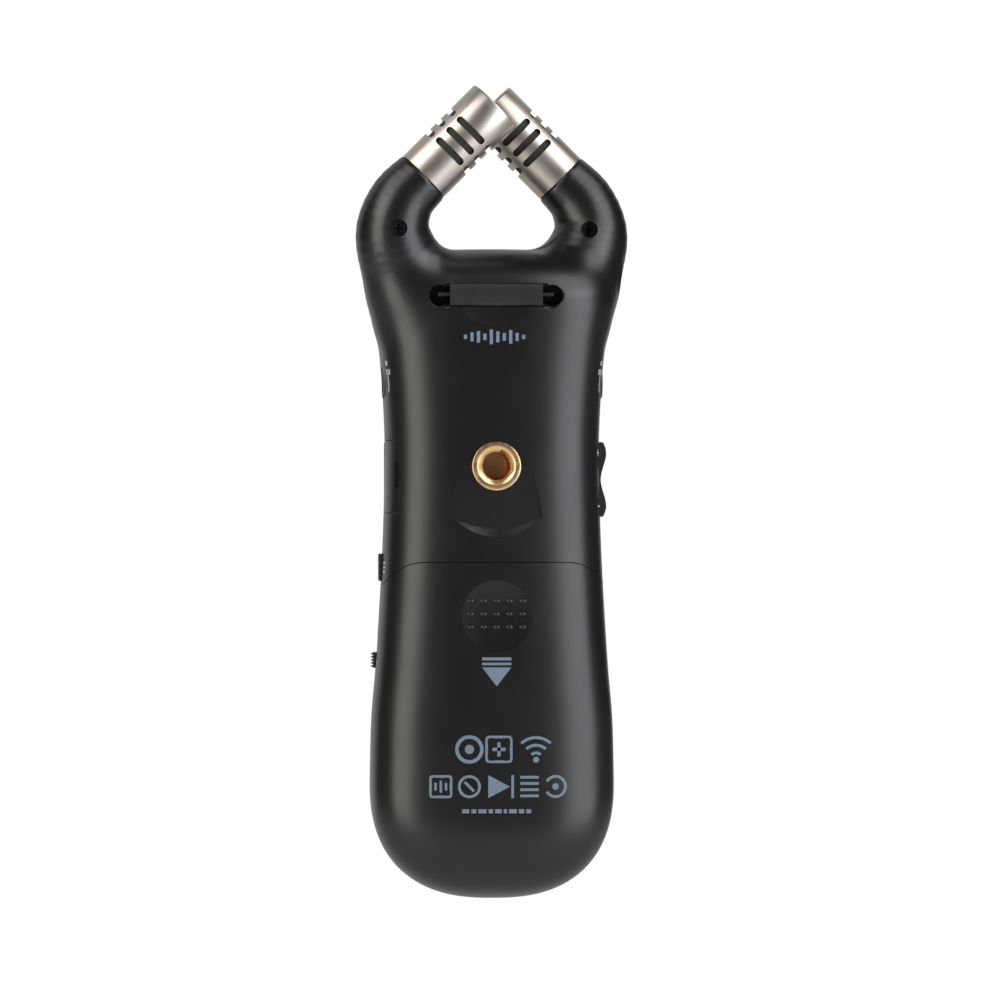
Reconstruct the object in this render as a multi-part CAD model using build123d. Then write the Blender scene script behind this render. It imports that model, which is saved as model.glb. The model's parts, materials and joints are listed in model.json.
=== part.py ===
"""Portable field recorder with two crossed microphones on curved arms.

Frame while modelling: +Z up (microphones at the top), +Y out of the back,
-Y out of the display side, +X the right-hand side as seen from the front.
Heights are measured from the rounded bottom end; depths from the mid plane.
Every node is moved by -ORIGIN when it is written, so that the finished part
has its origin on the tripod thread's axis, at the outer end of the thread.
All sizes are millimetres.
"""
from build123d import *
import math
import os

# ---------------------------------------------------------------- body shape
BACK_DEPTH = 12.5            # mid plane to the crown of the back
FRONT_DEPTH = 12.0           # mid plane to the crown of the uncut front
FASCIA_Y = -11.2             # flat front face
BACK_POWER = 2.8             # superellipse power of the back half section
FRONT_POWER = 3.6            # superellipse power of the front half section
END_POWER = 2.5              # superellipse power of the rounded ends
END_HEIGHT = 22.0            # height over which the width closes at the bottom
DEPTH_END_HEIGHT = 16.0      # height over which the depth closes at the bottom
MAX_HALF_WIDTH = 22.2
WALL = 1.8
SADDLE_Z = 119.0             # bottom of the opening between the arms
SADDLE_START_Z = 106.0       # height where the depth starts to close
# height and half width where the outline changes; the waist is at 84
WIDTHS = [(24, 22.3), (42, 21.3), (62, 20.1), (84, 19.6), (100, 20.6), (112, 22.2)]
TOP_WIDTHS = [(116.5, 20.0), (118.8, 11.0)]
BOTTOM_HEIGHTS = [0.15, 1.5, 5.2, 12.0]
SECTION_POINTS = 12

# ----------------------------------------------------------------- the arms
# x, y, z of the arm's centre line and its radius; y and x change sign together
ARM = [(14.0, 1.0, 108.0, 7.5), (16.4, 3.2, 116.5, 7.6), (18.2, 5.0, 123.0, 6.6),
       (16.7, 5.4, 127.8, 5.95), (13.0, 5.4, 132.1, 5.33)]
ARM_WALL = 1.5
ARM_SOCKET_RADIUS = 4.23
ARM_SOCKET_DEPTH = 4.3
ARM_SCREW_X, ARM_SCREW_Z = 17.8, 122.6
ARM_COLUMN_RADIUS = 2.1

# ------------------------------------------------------- parting and cover
PARTING_Y = 1.0
PARTING_STEP_Z = (108.0, 120.0)   # the parting line moves to the arm's middle here
SEAM_GAP = 0.15              # gap along every seam between the outer shells
COVER_TOP_Z = 61.7
COVER_CORNER_RADIUS = 8.5
COVER_CORNER_X = 13.0
THUMB_Z, THUMB_RADIUS, THUMB_DEPTH = 51.8, 6.65, 0.6
DOT_PITCH = 2.38

# -------------------------------------------------------------- microphones
MIC_RADIUS = 5.25
MIC_BORE_RADIUS = 4.65
MIC_LENGTH = 18.6
MIC_SPIGOT_LENGTH = 4.0
MIC_SLOT_LENGTH, MIC_SLOT_WIDTH = 6.7, 1.35
MIC_SLOT_FROM_TIP = (6.7, 9.4, 12.1)

# ------------------------------------------------------------ tripod thread
TRIPOD_Z = 79.2
INSERT_FACE_Y = 12.4
INSERT_RADIUS = 4.5
INSERT_LENGTH = 8.2
THREAD_RADIUS = 2.553        # minor radius of a 1/4 inch, 20 turns per inch thread
THREAD_CHAMFER = 0.89
THREAD_LENGTH = 6.0
ORIGIN = Vector(0, INSERT_FACE_Y - THREAD_CHAMFER, TRIPOD_Z)

# ---------------------------------------------------------------- strap bar
STRAP_Z = 110.4
STRAP_BAR_LENGTH, STRAP_BAR_HEIGHT, STRAP_BAR_THICK = 16.9, 4.2, 1.5
STRAP_SLOT_LENGTH = 25.0
STRAP_TUNNEL_DEPTH = 5.4

# ------------------------------------------------------------ side controls
JACK_Z, JACK_Y = 94.4, 0.6
JACK_RADIUS, JACK_BORE_RADIUS, JACK_BORE_DEPTH = 2.9, 1.8, 13.0
ROCKER_Z, ROCKER_HEIGHT, ROCKER_WIDTH = 76.75, 13.7, 4.4
ROCKER_LOBE = 1.1
ROCKER_PIN_RADIUS = 0.6
ROCKER_PIVOT_INSET = 3.4
DOOR_Z = (70.7, 83.8)
DOOR_Y = (-3.0, 7.6)
DOOR_THICK = 1.3
DOOR_PIN_X, DOOR_PIN_Y, DOOR_PIN_RADIUS = 18.75, -3.9, 0.4
DOOR_KNUCKLE_RADIUS = 0.85
MENU_Z, MENU_Y, MENU_HEIGHT, MENU_WIDTH, MENU_PROUD = 60.65, -1.2, 5.0, 3.0, 0.6
SLIDER_Z, SLIDER_TRAVEL, SLIDER_Y = 43.6, 2.8, -4.2
SLIDER_KNOB_HEIGHT, SLIDER_KNOB_WIDTH = 2.9, 3.8
USB_Z, USB_Y = 63.0, -5.0

# ------------------------------------------------------------ front controls
WINDOW_WIDTH, WINDOW_HEIGHT, WINDOW_THICK, WINDOW_Z = 25.0, 24.0, 1.2, 96.5
RECORD_Z, RECORD_RADIUS, RECORD_PROUD = 67.5, 5.9, 0.9
KEY_POSITIONS = {"play_key": (-6.6, 54.6), "stop_key": (6.6, 54.6),
                 "back_key": (-6.6, 46.0), "forward_key": (6.6, 46.0)}
KEY_WIDTH, KEY_HEIGHT, KEY_PROUD = 9.6, 6.2, 0.6
KEY_CLEARANCE = 0.15
LED_Z, LED_RADIUS = 78.2, 1.0
SPEAKER_Z, SPEAKER_RADIUS = 26.0, 9.0
SPEAKER_HOLE_RADIUS, SPEAKER_HOLE_PITCH = 0.6, 2.2

# ----------------------------------------------------------------- internals
BOARD_Y = (-3.4, -2.2)
BOARD_HALF_WIDTH, BOARD_NOTCH_HALF_WIDTH = 16.3, 11.6
BOARD_Z = (37.0, 107.0)
BOARD_NOTCH_Z = (50.5, 57.4)
CELL_RADIUS, CELL_LENGTH, CELL_NUB = 5.2, 44.5, 1.3
CELL_X, CELL_Y = 5.6, 4.4
TRAY_Z = (7.6, 58.5)
TRAY_WALL = 1.2
TRAY_END_Y = 5.9             # top of the tray's end walls
TRAY_FLOOR_Y = (-1.8, -0.9)
CASE_SCREW_X = 14.6
CASE_SCREW_HEIGHTS = (20.0, 54.0)

CONTACT_GAP = 0.02           # gap left between parts that rest on one another
SHAFT_GAP = 0.03             # radial clearance of pins and plugs in their holes
SCREW_SHANK, SCREW_CLEARANCE = 0.9, 0.95

CENTRE_UP = (Align.CENTER, Align.CENTER, Align.MIN)


# ------------------------------------------------------------------- helpers
def block(x0, x1, y0, y1, z0, z1):
    """Box between two corners."""
    return Pos((x0 + x1) / 2, (y0 + y1) / 2, (z0 + z1) / 2) * Box(abs(x1 - x0), abs(y1 - y0), abs(z1 - z0))


def rod(start, end, radius):
    """Round bar from one point to another."""
    start, end = Vector(*start), Vector(*end)
    return Plane(origin=start, z_dir=end - start) * Cylinder(radius, (end - start).length, align=CENTRE_UP)


def ring(start, end, outer, inner):
    """Tube from one point to another."""
    return rod(start, end, outer) - rod(start, end, inner)


def front_plate(x, z, width, height, y_front, thickness, corner):
    """Rounded plate parallel to the fascia, its outer face at y_front."""
    plane = Plane(origin=(x, y_front + thickness, z), x_dir=(1, 0, 0), z_dir=(0, -1, 0))
    return extrude(plane * RectangleRounded(width, height, corner), thickness)


def side_plate(side, x_inner, length, y, z, width, height, corner):
    """Rounded bar that runs along X from |x| = x_inner outwards on one side."""
    plane = Plane(origin=(side * x_inner, y, z), x_dir=(0, 1, 0), z_dir=(side, 0, 0))
    return extrude(plane * RectangleRounded(width, height, corner), length)


def half_width(z):
    """Half width of the body at a height, straight between the named stations."""
    if z < END_HEIGHT:
        return MAX_HALF_WIDTH * end_factor(z, END_HEIGHT)
    for (z0, w0), (z1, w1) in zip(WIDTHS, WIDTHS[1:]):
        if z <= z1:
            return w0 + (w1 - w0) * (z - z0) / (z1 - z0)
    return WIDTHS[-1][1]


def end_factor(distance, span):
    """How far a rounded end has opened at a distance from its tip, 0 to 1."""
    if distance >= span:
        return 1.0
    return (1 - (1 - distance / span) ** END_POWER) ** (1 / END_POWER)


def depth_factor(z):
    """Share of the full depth at a height."""
    top = 1.0
    if z > SADDLE_START_Z:
        top = (1 - ((z - SADDLE_START_Z) / (SADDLE_Z - SADDLE_START_Z)) ** END_POWER) ** (1 / END_POWER)
    return end_factor(z, DEPTH_END_HEIGHT) * top


def section(z, width, factor, inset):
    """Closed cross section of the body, set in from the surface by inset."""
    points = []
    for step in range(SECTION_POINTS):
        angle = 2 * math.pi * step / SECTION_POINTS
        c, s = math.cos(angle), math.sin(angle)
        depth, power = (BACK_DEPTH, BACK_POWER) if s >= 0 else (FRONT_DEPTH, FRONT_POWER)
        x = math.copysign(abs(c) ** (2 / power), c) * (width - inset)
        y = math.copysign(abs(s) ** (2 / power), s) * (depth * factor - inset)
        points.append((x, y, z))
    return Face(Wire([Edge.make_spline([Vector(*p) for p in points], periodic=True)]))


def body_solid(inset):
    """The body without its arms, with every surface moved in by inset."""
    stations = [(z, MAX_HALF_WIDTH * end_factor(z, END_HEIGHT)) for z in BOTTOM_HEIGHTS]
    stations += WIDTHS + TOP_WIDTHS
    sections = []
    for z, width in stations:
        factor = depth_factor(z)
        if min(width, BACK_DEPTH * factor) > inset + 0.8:
            sections.append(section(z + inset if z < END_HEIGHT / 2 else z, width, factor, inset))
    solid = loft(sections)
    return solid & block(-40, 40, FASCIA_Y + inset, 40, -10, SADDLE_Z - inset)


def arm_points(side):
    """Centre points and radii of one arm."""
    return [(Vector(side * x, side * y, z), radius) for x, y, z, radius in ARM]


def arm_end(side):
    """Centre of the arm's end face and the direction the microphone points."""
    return arm_points(side)[-1][0], Vector(-side, 0, 1).normalized()


def arm_solid(side, inset):
    """One curved arm as a smooth tube, from inside the body to the microphone."""
    points = arm_points(side)
    faces = []
    for index, (centre, radius) in enumerate(points):
        if index == len(points) - 1:
            direction = arm_end(side)[1]
        else:
            before = points[max(index - 1, 0)][0]
            direction = (points[index + 1][0] - before).normalized()
        across = Vector(0, 1, 0) - direction * direction.Y
        faces.append(Plane(origin=centre, x_dir=across, z_dir=direction) * Circle(radius - inset))
    return loft(faces)


def back_side(gap=0.0):
    """Everything behind the parting surface, which steps to each arm's middle, moved forward by gap."""
    low, high = PARTING_STEP_Z
    body_y = PARTING_Y - gap
    halves = []
    for side in (1, -1):
        arm_y = side * ARM[-1][1] - gap
        outline = Polyline((body_y, -10), (body_y, low), (arm_y, high), (arm_y, 160), (40, 160), (40, -10),
                           close=True)
        plane = Plane(origin=(0, 0, 0), x_dir=(0, 1, 0), z_dir=(1, 0, 0))
        halves.append(extrude(plane * make_face(outline), side * 40))
    return halves[0] + halves[1]


def cover_profile(gap):
    """Prism of the battery cover's outline, behind the parting plane, shrunk by gap."""
    top = COVER_TOP_Z - gap
    radius, corner_x = COVER_CORNER_RADIUS, COVER_CORNER_X
    wide = 26.0
    shoulder = top - radius
    diagonal = radius * math.sqrt(0.5)
    right = ThreePointArc((corner_x + radius, shoulder), (corner_x + diagonal, shoulder + diagonal),
                          (corner_x, top))
    left = ThreePointArc((-corner_x, top), (-corner_x - diagonal, shoulder + diagonal),
                         (-corner_x - radius, shoulder))
    outline = [Line((wide, -10), (wide, shoulder)),
               Line((wide, shoulder), (corner_x + radius, shoulder)),
               right,
               Line((corner_x, top), (-corner_x, top)),
               left,
               Line((-corner_x - radius, shoulder), (-wide, shoulder)),
               Line((-wide, shoulder), (-wide, -10)),
               Line((-wide, -10), (wide, -10))]
    plane = Plane(origin=(0, PARTING_Y + gap, 0), x_dir=(1, 0, 0), z_dir=(0, -1, 0))
    return extrude(plane * make_face(outline), -40)


def save(node, *solids):
    """Write one node, moved so that the part's origin is at ORIGIN."""
    pieces = []
    for solid in solids:
        pieces += [piece.moved(Location(-ORIGIN)) for piece in solid.solids()]
    export_step(Compound(children=pieces) if len(pieces) > 1 else pieces[0], f"parts/{node}.step")


# ------------------------------------------------------------ shell features
def tripod_seat():
    """Flat floor that tilts into the back below the thread, for a tripod head's rim."""
    top_z, corner_z, bottom_z = 80.0, 70.1, 66.0
    top_x, corner_x = 6.6, 8.45
    outline = [Line((-corner_x, corner_z), (-top_x, top_z)), Line((-top_x, top_z), (top_x, top_z)),
               Line((top_x, top_z), (corner_x, corner_z)),
               ThreePointArc((corner_x, corner_z), (0, bottom_z), (-corner_x, corner_z))]
    prism = extrude(Plane(origin=(0, 0, 0), x_dir=(1, 0, 0), z_dir=(0, -1, 0)) * make_face(outline), -20)
    floor = Pos(0, INSERT_FACE_Y, top_z) * Rot(-5.5, 0, 0) * block(-20, 20, 0, 10, -30, 5)
    return prism & floor


def side_bore(side, radius, inner_x=12.0):
    """Round cutter through the side wall on a jack's axis."""
    return rod((side * inner_x, JACK_Y, JACK_Z), (side * 30, JACK_Y, JACK_Z), radius)


def speaker_holes():
    """Grid of round holes inside a circle, in the fascia."""
    rows = 3
    holes = []
    for row in range(-rows, rows + 1):
        for column in range(-rows, rows + 1):
            x = (column + 0.5 * (row % 2)) * SPEAKER_HOLE_PITCH
            z = row * SPEAKER_HOLE_PITCH * math.sqrt(3) / 2
            if math.hypot(x, z) < SPEAKER_RADIUS - 2.0:
                holes.append(rod((x, FASCIA_Y - 1, SPEAKER_Z + z), (x, FASCIA_Y + 3, SPEAKER_Z + z),
                                 SPEAKER_HOLE_RADIUS))
    return holes


def key_shape(x, z, clearance, y_front, thickness):
    """Pill outline of a transport key, grown by clearance."""
    return front_plate(x, z, KEY_WIDTH + 2 * clearance, KEY_HEIGHT + 2 * clearance, y_front, thickness,
                       KEY_HEIGHT / 2 - 0.05 + clearance)


def strap_slot():
    """Seat for the strap bar with a tunnel for the cord beneath it."""
    seat = front_plate(0, STRAP_Z, STRAP_SLOT_LENGTH, STRAP_BAR_HEIGHT + 0.2, 15, -15 + strap_seat_y(), 2.0)
    tunnel = front_plate(0, STRAP_Z, STRAP_SLOT_LENGTH - 0.6, STRAP_BAR_HEIGHT - 0.7, 15,
                         -15 + strap_top_y() - STRAP_TUNNEL_DEPTH, 1.6)
    return seat + tunnel


def strap_top_y():
    """Depth of the back surface at the strap bar, less a little so the bar sits flush."""
    return BACK_DEPTH * depth_factor(STRAP_Z) - 0.1


def strap_seat_y():
    """Depth of the ledge that carries the strap bar."""
    return strap_top_y() - STRAP_BAR_THICK


def arm_screw_y(side):
    """Depth of the seat under an arm screw's head."""
    return side * ARM[2][1] + 3.6


def arm_screw_cutter(side):
    """Counterbore and clearance hole for one arm screw, drilled from behind."""
    x, y = side * ARM_SCREW_X, arm_screw_y(side)
    counterbore = rod((x, y, ARM_SCREW_Z), (x, 20, ARM_SCREW_Z), 1.55)
    return counterbore + rod((x, y - 8.6, ARM_SCREW_Z), (x, y + 1, ARM_SCREW_Z), SCREW_CLEARANCE)


def arm_socket(side):
    """Bore at an arm's end that takes the microphone's spigot."""
    end, direction = arm_end(side)
    return rod(end - direction * ARM_SOCKET_DEPTH, end + direction, ARM_SOCKET_RADIUS)


def side_openings(side):
    """Cutters for every control and socket in one side wall."""
    reach = half_width(ROCKER_Z) - 4
    cutters = [side_bore(side, JACK_RADIUS + 0.05)]
    if side < 0:
        width, height = ROCKER_WIDTH + 0.4, ROCKER_HEIGHT + 0.7
        cutters.append(side_plate(side, reach, 10, 0, ROCKER_Z, width, height, 0.15))
        cutters.append(side_plate(side, reach, 10, USB_Y, USB_Z, 3.4, 9.2, 1.65))
    else:
        width, height = MENU_WIDTH + 0.3, MENU_HEIGHT + 0.3
        cutters.append(side_plate(side, reach, 10, MENU_Y, MENU_Z, width, height, 0.8))
        slot_height = SLIDER_KNOB_HEIGHT + SLIDER_TRAVEL + 0.4
        slot_z = SLIDER_Z + SLIDER_TRAVEL / 2
        dish_x = half_width(slot_z) - 0.7
        dish_width = SLIDER_KNOB_WIDTH + 0.4
        cutters.append(side_plate(side, dish_x, 10, SLIDER_Y, slot_z, dish_width, slot_height, 0.8))
        cutters.append(side_plate(side, reach, 10, SLIDER_Y, slot_z, 2.2, slot_height - 0.9, 0.5))
    return cutters


def door_region(gap):
    """Box around the memory card door, grown by gap."""
    return block(10, 30, DOOR_Y[0] - gap, DOOR_Y[1] + gap, DOOR_Z[0] - gap, DOOR_Z[1] + gap)


def door_pin_rod(radius, margin):
    """Rod on the door's hinge axis, longer than the door by margin at each end."""
    low, high = DOOR_Z[0] - margin, DOOR_Z[1] + margin
    return rod((DOOR_PIN_X, DOOR_PIN_Y, low), (DOOR_PIN_X, DOOR_PIN_Y, high), radius)


# ------------------------------------------------------------------- shells
def make_shells():
    """Front shell, back shell, battery cover and card door, cut from one hollow body."""
    outer = body_solid(0) + [arm_solid(1, 0), arm_solid(-1, 0)]
    hollow = outer - [body_solid(WALL), arm_solid(1, ARM_WALL), arm_solid(-1, ARM_WALL)]
    skin = outer - body_solid(DOOR_THICK)
    pocket = (outer - body_solid(DOOR_THICK + 0.15)) & door_region(SEAM_GAP)
    window = block(10, 30, DOOR_Y[0] + 0.5, DOOR_Y[1] - 1.2, DOOR_Z[0] + 0.9, DOOR_Z[1] - 0.9)
    cutters = [pocket, window]
    for side in (1, -1):
        cutters += [arm_screw_cutter(side), arm_socket(side)] + side_openings(side)
    rear = back_side() - cover_profile(0)
    cover = hollow & cover_profile(SEAM_GAP)
    walls = (hollow + arm_columns()) - cutters
    front = finish_front(walls - back_side(SEAM_GAP))
    return front, finish_back(walls & rear), finish_cover(cover), make_door(skin)


def arm_columns():
    """Solid columns across the arms, which the arm screws run through."""
    columns = []
    for side in (1, -1):
        middle = side * ARM[2][1]
        reach = ARM[2][3] - 1.0
        columns.append(rod((side * ARM_SCREW_X, middle - reach, ARM_SCREW_Z),
                           (side * ARM_SCREW_X, middle + reach, ARM_SCREW_Z), ARM_COLUMN_RADIUS))
    return columns


def finish_front(front):
    """Bosses, posts, key openings, display pocket, grille and hinge pocket of the front shell."""
    inner_y = FASCIA_Y + WALL
    hinge_y = DOOR_PIN_Y - DOOR_KNUCKLE_RADIUS - SEAM_GAP
    boss = block(BOARD_HALF_WIDTH + 0.15, 18.6, -5.6, -3.1, DOOR_Z[0] - 1.6, DOOR_Z[1] + 1.6)
    added = [boss] + board_posts()
    cutters = [door_pin_rod(DOOR_KNUCKLE_RADIUS + SEAM_GAP, SEAM_GAP),
               block(DOOR_PIN_X, 30, hinge_y, DOOR_Y[0] + 0.5, DOOR_Z[0] - SEAM_GAP, DOOR_Z[1] + SEAM_GAP),
               door_pin_rod(DOOR_PIN_RADIUS + SHAFT_GAP, 0.9),
               front_plate(0, WINDOW_Z, WINDOW_WIDTH + 0.15, WINDOW_HEIGHT + 0.15, FASCIA_Y - 2,
                           WINDOW_THICK + 2, 1.6),
               front_plate(0, WINDOW_Z, WINDOW_WIDTH - 3, WINDOW_HEIGHT - 3.4, FASCIA_Y - 2, 5, 0.8),
               rod((0, FASCIA_Y - 1, RECORD_Z), (0, inner_y + 0.5, RECORD_Z), RECORD_RADIUS + KEY_CLEARANCE),
               rod((0, FASCIA_Y - 1, LED_Z), (0, inner_y + 0.5, LED_Z), LED_RADIUS + 0.02)]
    for side in (1, -1):
        for height in CASE_SCREW_HEIGHTS:
            x = side * CASE_SCREW_X
            added.append(rod((x, inner_y - 0.5, height), (x, TRAY_FLOOR_Y[0] - 0.05, height), 2.3))
            cutters.append(rod((x, inner_y + 1.2, height), (x, 0, height), SCREW_CLEARANCE))
    for x, z in KEY_POSITIONS.values():
        cutters.append(key_shape(x, z, KEY_CLEARANCE, FASCIA_Y - 1, WALL + 1.5))
    for x, z in board_screw_points():
        cutters.append(rod((x, inner_y + 0.8, z), (x, 0, z), 0.75))
    return (front + added) - (cutters + speaker_holes())


def finish_back(back):
    """Thread boss, tripod seat and strap trough of the back shell."""
    boss_y = INSERT_FACE_Y - INSERT_LENGTH
    trough_floor = strap_top_y() - STRAP_TUNNEL_DEPTH - 1.3
    added = [rod((0, boss_y, TRIPOD_Z), (0, 11.9, TRIPOD_Z), 6.2),
             block(-9.6, 9.6, 8.9, 11.3, 65.0, 76.0),
             front_plate(0, STRAP_Z, STRAP_SLOT_LENGTH + 2.6, STRAP_BAR_HEIGHT + 2.8, trough_floor,
                         9.2 - trough_floor, 2.8)]
    cutters = [strap_slot(), tripod_seat(),
               rod((0, boss_y - 1, TRIPOD_Z), (0, 14, TRIPOD_Z), INSERT_RADIUS + 0.02)]
    return (back + added) - cutters


def finish_cover(cover):
    """Thumb dish, grip dots and locking tongue of the battery cover."""
    ball_radius = (THUMB_RADIUS ** 2 + THUMB_DEPTH ** 2) / (2 * THUMB_DEPTH)
    dish = Pos(0, BACK_DEPTH - THUMB_DEPTH + ball_radius, THUMB_Z) * Sphere(ball_radius)
    tongue_y = CELL_Y + CELL_RADIUS + 0.15    # clears the cells as the cover slides over them
    added = [block(-6, 6, tongue_y, 10.45, COVER_TOP_Z - 3, COVER_TOP_Z + 2.2),
             block(-6, 6, tongue_y, 11.2, COVER_TOP_Z - 3, COVER_TOP_Z - 0.6)]
    for row in (-1, 0, 1):
        for column in range(-2, 3):
            x, z = column * DOT_PITCH, THUMB_Z + 0.3 + row * DOT_PITCH
            added.append(rod((x, BACK_DEPTH - 1.3, z), (x, BACK_DEPTH - 0.3, z), 0.45))
    return (cover - dish) + added


def make_door(skin):
    """Curved door over the memory card, with its hinge knuckle and nail notch."""
    middle = 0.25
    panel = skin & door_region(0)
    arm = block(DOOR_PIN_X - 0.45, DOOR_PIN_X + 0.45, DOOR_PIN_Y, DOOR_Y[0] + 0.6, DOOR_Z[0] + middle,
                DOOR_Z[1] - middle)
    door = panel + (arm & door_region(2)) + door_pin_rod(DOOR_KNUCKLE_RADIUS, -middle)
    notch_z = (DOOR_Z[0] + DOOR_Z[1]) / 2 + 0.4
    notch = block(14, 30, DOOR_Y[1] - 0.9, DOOR_Y[1] + 1, notch_z - 2.4, notch_z + 2.4)
    shallow = skin - body_solid(0.7)
    door = door - (notch & shallow)
    return door - door_pin_rod(DOOR_PIN_RADIUS + SHAFT_GAP, 1)


# -------------------------------------------------------------- microphones
def make_mic(side):
    """Housing, lining screen, end grille, element, rubber ring and wire of one microphone."""
    base, direction = arm_end(side)
    tip = base + direction * MIC_LENGTH
    spigot_end = base - direction * MIC_SPIGOT_LENGTH
    barrel = rod(base + direction * 0.05, tip, MIC_RADIUS)
    barrel = chamfer(barrel.faces().sort_by(Axis(base, direction))[-1].edges(), 0.3)
    housing = barrel + rod(spigot_end, base + direction * 2, ARM_SOCKET_RADIUS - SHAFT_GAP)
    housing = housing - rod(base + direction * 1.2, tip + direction, MIC_BORE_RADIUS)
    housing = housing - rod(spigot_end - direction, base + direction * 2, 3.2)
    for from_tip in MIC_SLOT_FROM_TIP:
        centre = tip - direction * from_tip
        for across in (Vector(0, 1, 0), direction.cross(Vector(0, 1, 0))):
            plane = Plane(origin=centre - across * 8, x_dir=direction.cross(across), z_dir=across)
            slot = extrude(plane * SlotOverall(MIC_SLOT_LENGTH, MIC_SLOT_WIDTH), 16)
            housing = housing - slot
    screen_radius = MIC_BORE_RADIUS - SHAFT_GAP
    screen = ring(tip - direction * 14.4, tip - direction * 3.8, screen_radius, screen_radius - 0.25)
    grille = rod(tip - direction * 1.0, tip - direction * 0.4, MIC_BORE_RADIUS - SHAFT_GAP)
    grille = grille - grille_holes(tip, direction)
    element = rod(tip - direction * 6.2, tip - direction * 1.5, 3.0)
    mount = ring(tip - direction * 3.6, tip - direction * 1.4, MIC_BORE_RADIUS - 0.05, 3.02)
    return housing, screen, grille, element, mount, make_wire(side, tip - direction * 6.3, direction)


def grille_holes(tip, direction):
    """Rings of round holes through the end grille."""
    holes = []
    across = Vector(0, 1, 0)
    other = direction.cross(across)
    for ring_radius, count in ((0.0, 1), (1.35, 6), (2.7, 12), (3.85, 18)):
        for index in range(count):
            angle = 2 * math.pi * index / count
            centre = tip + (across * math.cos(angle) + other * math.sin(angle)) * ring_radius
            holes.append(rod(centre - direction * 2, centre + direction, 0.42))
    return holes


def make_wire(side, start, direction):
    """Shielded wire from a microphone element down its arm to the main board."""
    radius = 0.55
    points = [start, Vector(side * 14.2, side * 4.4, 130.0), Vector(side * 14.6, side * 4.2, 122.6),
              Vector(side * 12.6, side * 1.6, 114.0), Vector(side * 11.5, -1.4, 106.8)]
    path = Spline(points, tangents=[-direction, Vector(0, -0.6, -1)])
    plane = Plane(origin=path @ 0, z_dir=path % 0)
    return sweep(plane * Circle(radius), path)


# ------------------------------------------------------------------ hardware
def make_insert():
    """Blind brass tripod nut with a knurled barrel and a broad lead-in chamfer."""
    back_y = INSERT_FACE_Y - INSERT_LENGTH
    groove_y = INSERT_FACE_Y - 4.4
    nut = rod((0, back_y, TRIPOD_Z), (0, INSERT_FACE_Y, TRIPOD_Z), INSERT_RADIUS)
    nut = nut - ring((0, groove_y - 0.6, TRIPOD_Z), (0, groove_y + 0.6, TRIPOD_Z), INSERT_RADIUS + 1, 3.9)
    nut = chamfer(nut.faces().sort_by(Axis.Y)[-1].edges(), 0.12)
    nut = nut - rod((0, ORIGIN.Y - THREAD_LENGTH, TRIPOD_Z), (0, 20, TRIPOD_Z), THREAD_RADIUS)
    cone_plane = Plane(origin=(0, ORIGIN.Y, TRIPOD_Z), x_dir=(1, 0, 0), z_dir=(0, 1, 0))
    mouth = Cone(THREAD_RADIUS, THREAD_RADIUS + THREAD_CHAMFER, THREAD_CHAMFER, align=CENTRE_UP)
    return nut - cone_plane * mouth


def make_screw(head_point, direction, length, shank_radius, head_radius, head_height):
    """Pan head screw with a cross recess; the head's underside is at head_point."""
    head_point, direction = Vector(*head_point), Vector(*direction)
    screw = rod(head_point, head_point - direction * head_height, head_radius)
    screw = screw + rod(head_point - direction * 0.1, head_point + direction * length, shank_radius)
    top = head_point - direction * head_height
    plane = Plane(origin=top, x_dir=(1, 0, 0), z_dir=direction)
    for turn in (0, 90):
        slot = plane * Rot(0, 0, turn) * Rectangle(head_radius * 1.2, 0.35)
        screw = screw - extrude(slot, head_height * 0.6)
    return screw


def arm_screws():
    """The two screws that close the arms, driven from behind."""
    seats = [(side * ARM_SCREW_X, arm_screw_y(side), ARM_SCREW_Z) for side in (1, -1)]
    return [make_screw(seat, (0, -1, 0), 7.6, SCREW_SHANK, 1.45, 1.2) for seat in seats]


def case_screws():
    """Four screws that clamp the battery tray to the front shell's bosses."""
    head_y = TRAY_FLOOR_Y[1] + CONTACT_GAP
    return [make_screw((side * CASE_SCREW_X, head_y, height), (0, -1, 0), 7.0, SCREW_SHANK, 1.8, 1.2)
            for side in (1, -1) for height in CASE_SCREW_HEIGHTS]


def make_strap_bar():
    """Bridge across the strap tunnel; the cord passes under it."""
    bar = front_plate(0, STRAP_Z, STRAP_BAR_LENGTH, STRAP_BAR_HEIGHT, strap_seat_y() + 0.02,
                      STRAP_BAR_THICK - 0.02, 0.5)
    return chamfer(bar.faces().sort_by(Axis.Y)[-1].edges(), 0.2)


# ------------------------------------------------------------ front controls
def make_record_button():
    """Round record key with a retaining flange and a stem towards its switch."""
    top_y = FASCIA_Y - RECORD_PROUD
    flange_y = FASCIA_Y + WALL + 0.1
    cap = rod((0, flange_y + 0.2, RECORD_Z), (0, top_y, RECORD_Z), RECORD_RADIUS)
    cap = chamfer(cap.faces().sort_by(Axis.Y)[0].edges(), 0.35)
    dish = Pos(0, top_y - 26 + 0.45, RECORD_Z) * Sphere(26)
    flange = rod((0, flange_y, RECORD_Z), (0, flange_y + 0.7, RECORD_Z), RECORD_RADIUS + 0.8)
    stem = rod((0, flange_y, RECORD_Z), (0, -7.3, RECORD_Z), 1.5)
    return (cap - dish) + flange + stem


def make_key(x, z):
    """Pill-shaped transport key with a retaining flange and a stem."""
    flange_y = FASCIA_Y + WALL + 0.1
    cap = key_shape(x, z, 0, FASCIA_Y - KEY_PROUD, KEY_PROUD + WALL + 0.3)
    cap = chamfer(cap.faces().sort_by(Axis.Y)[0].edges(), 0.25)
    flange = front_plate(x, z, KEY_WIDTH + 1.2, KEY_HEIGHT + 1.2, flange_y, 0.7, 3.6)
    stem = rod((x, flange_y, z), (x, -7.3, z), 1.2)
    return cap + flange + stem


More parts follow.
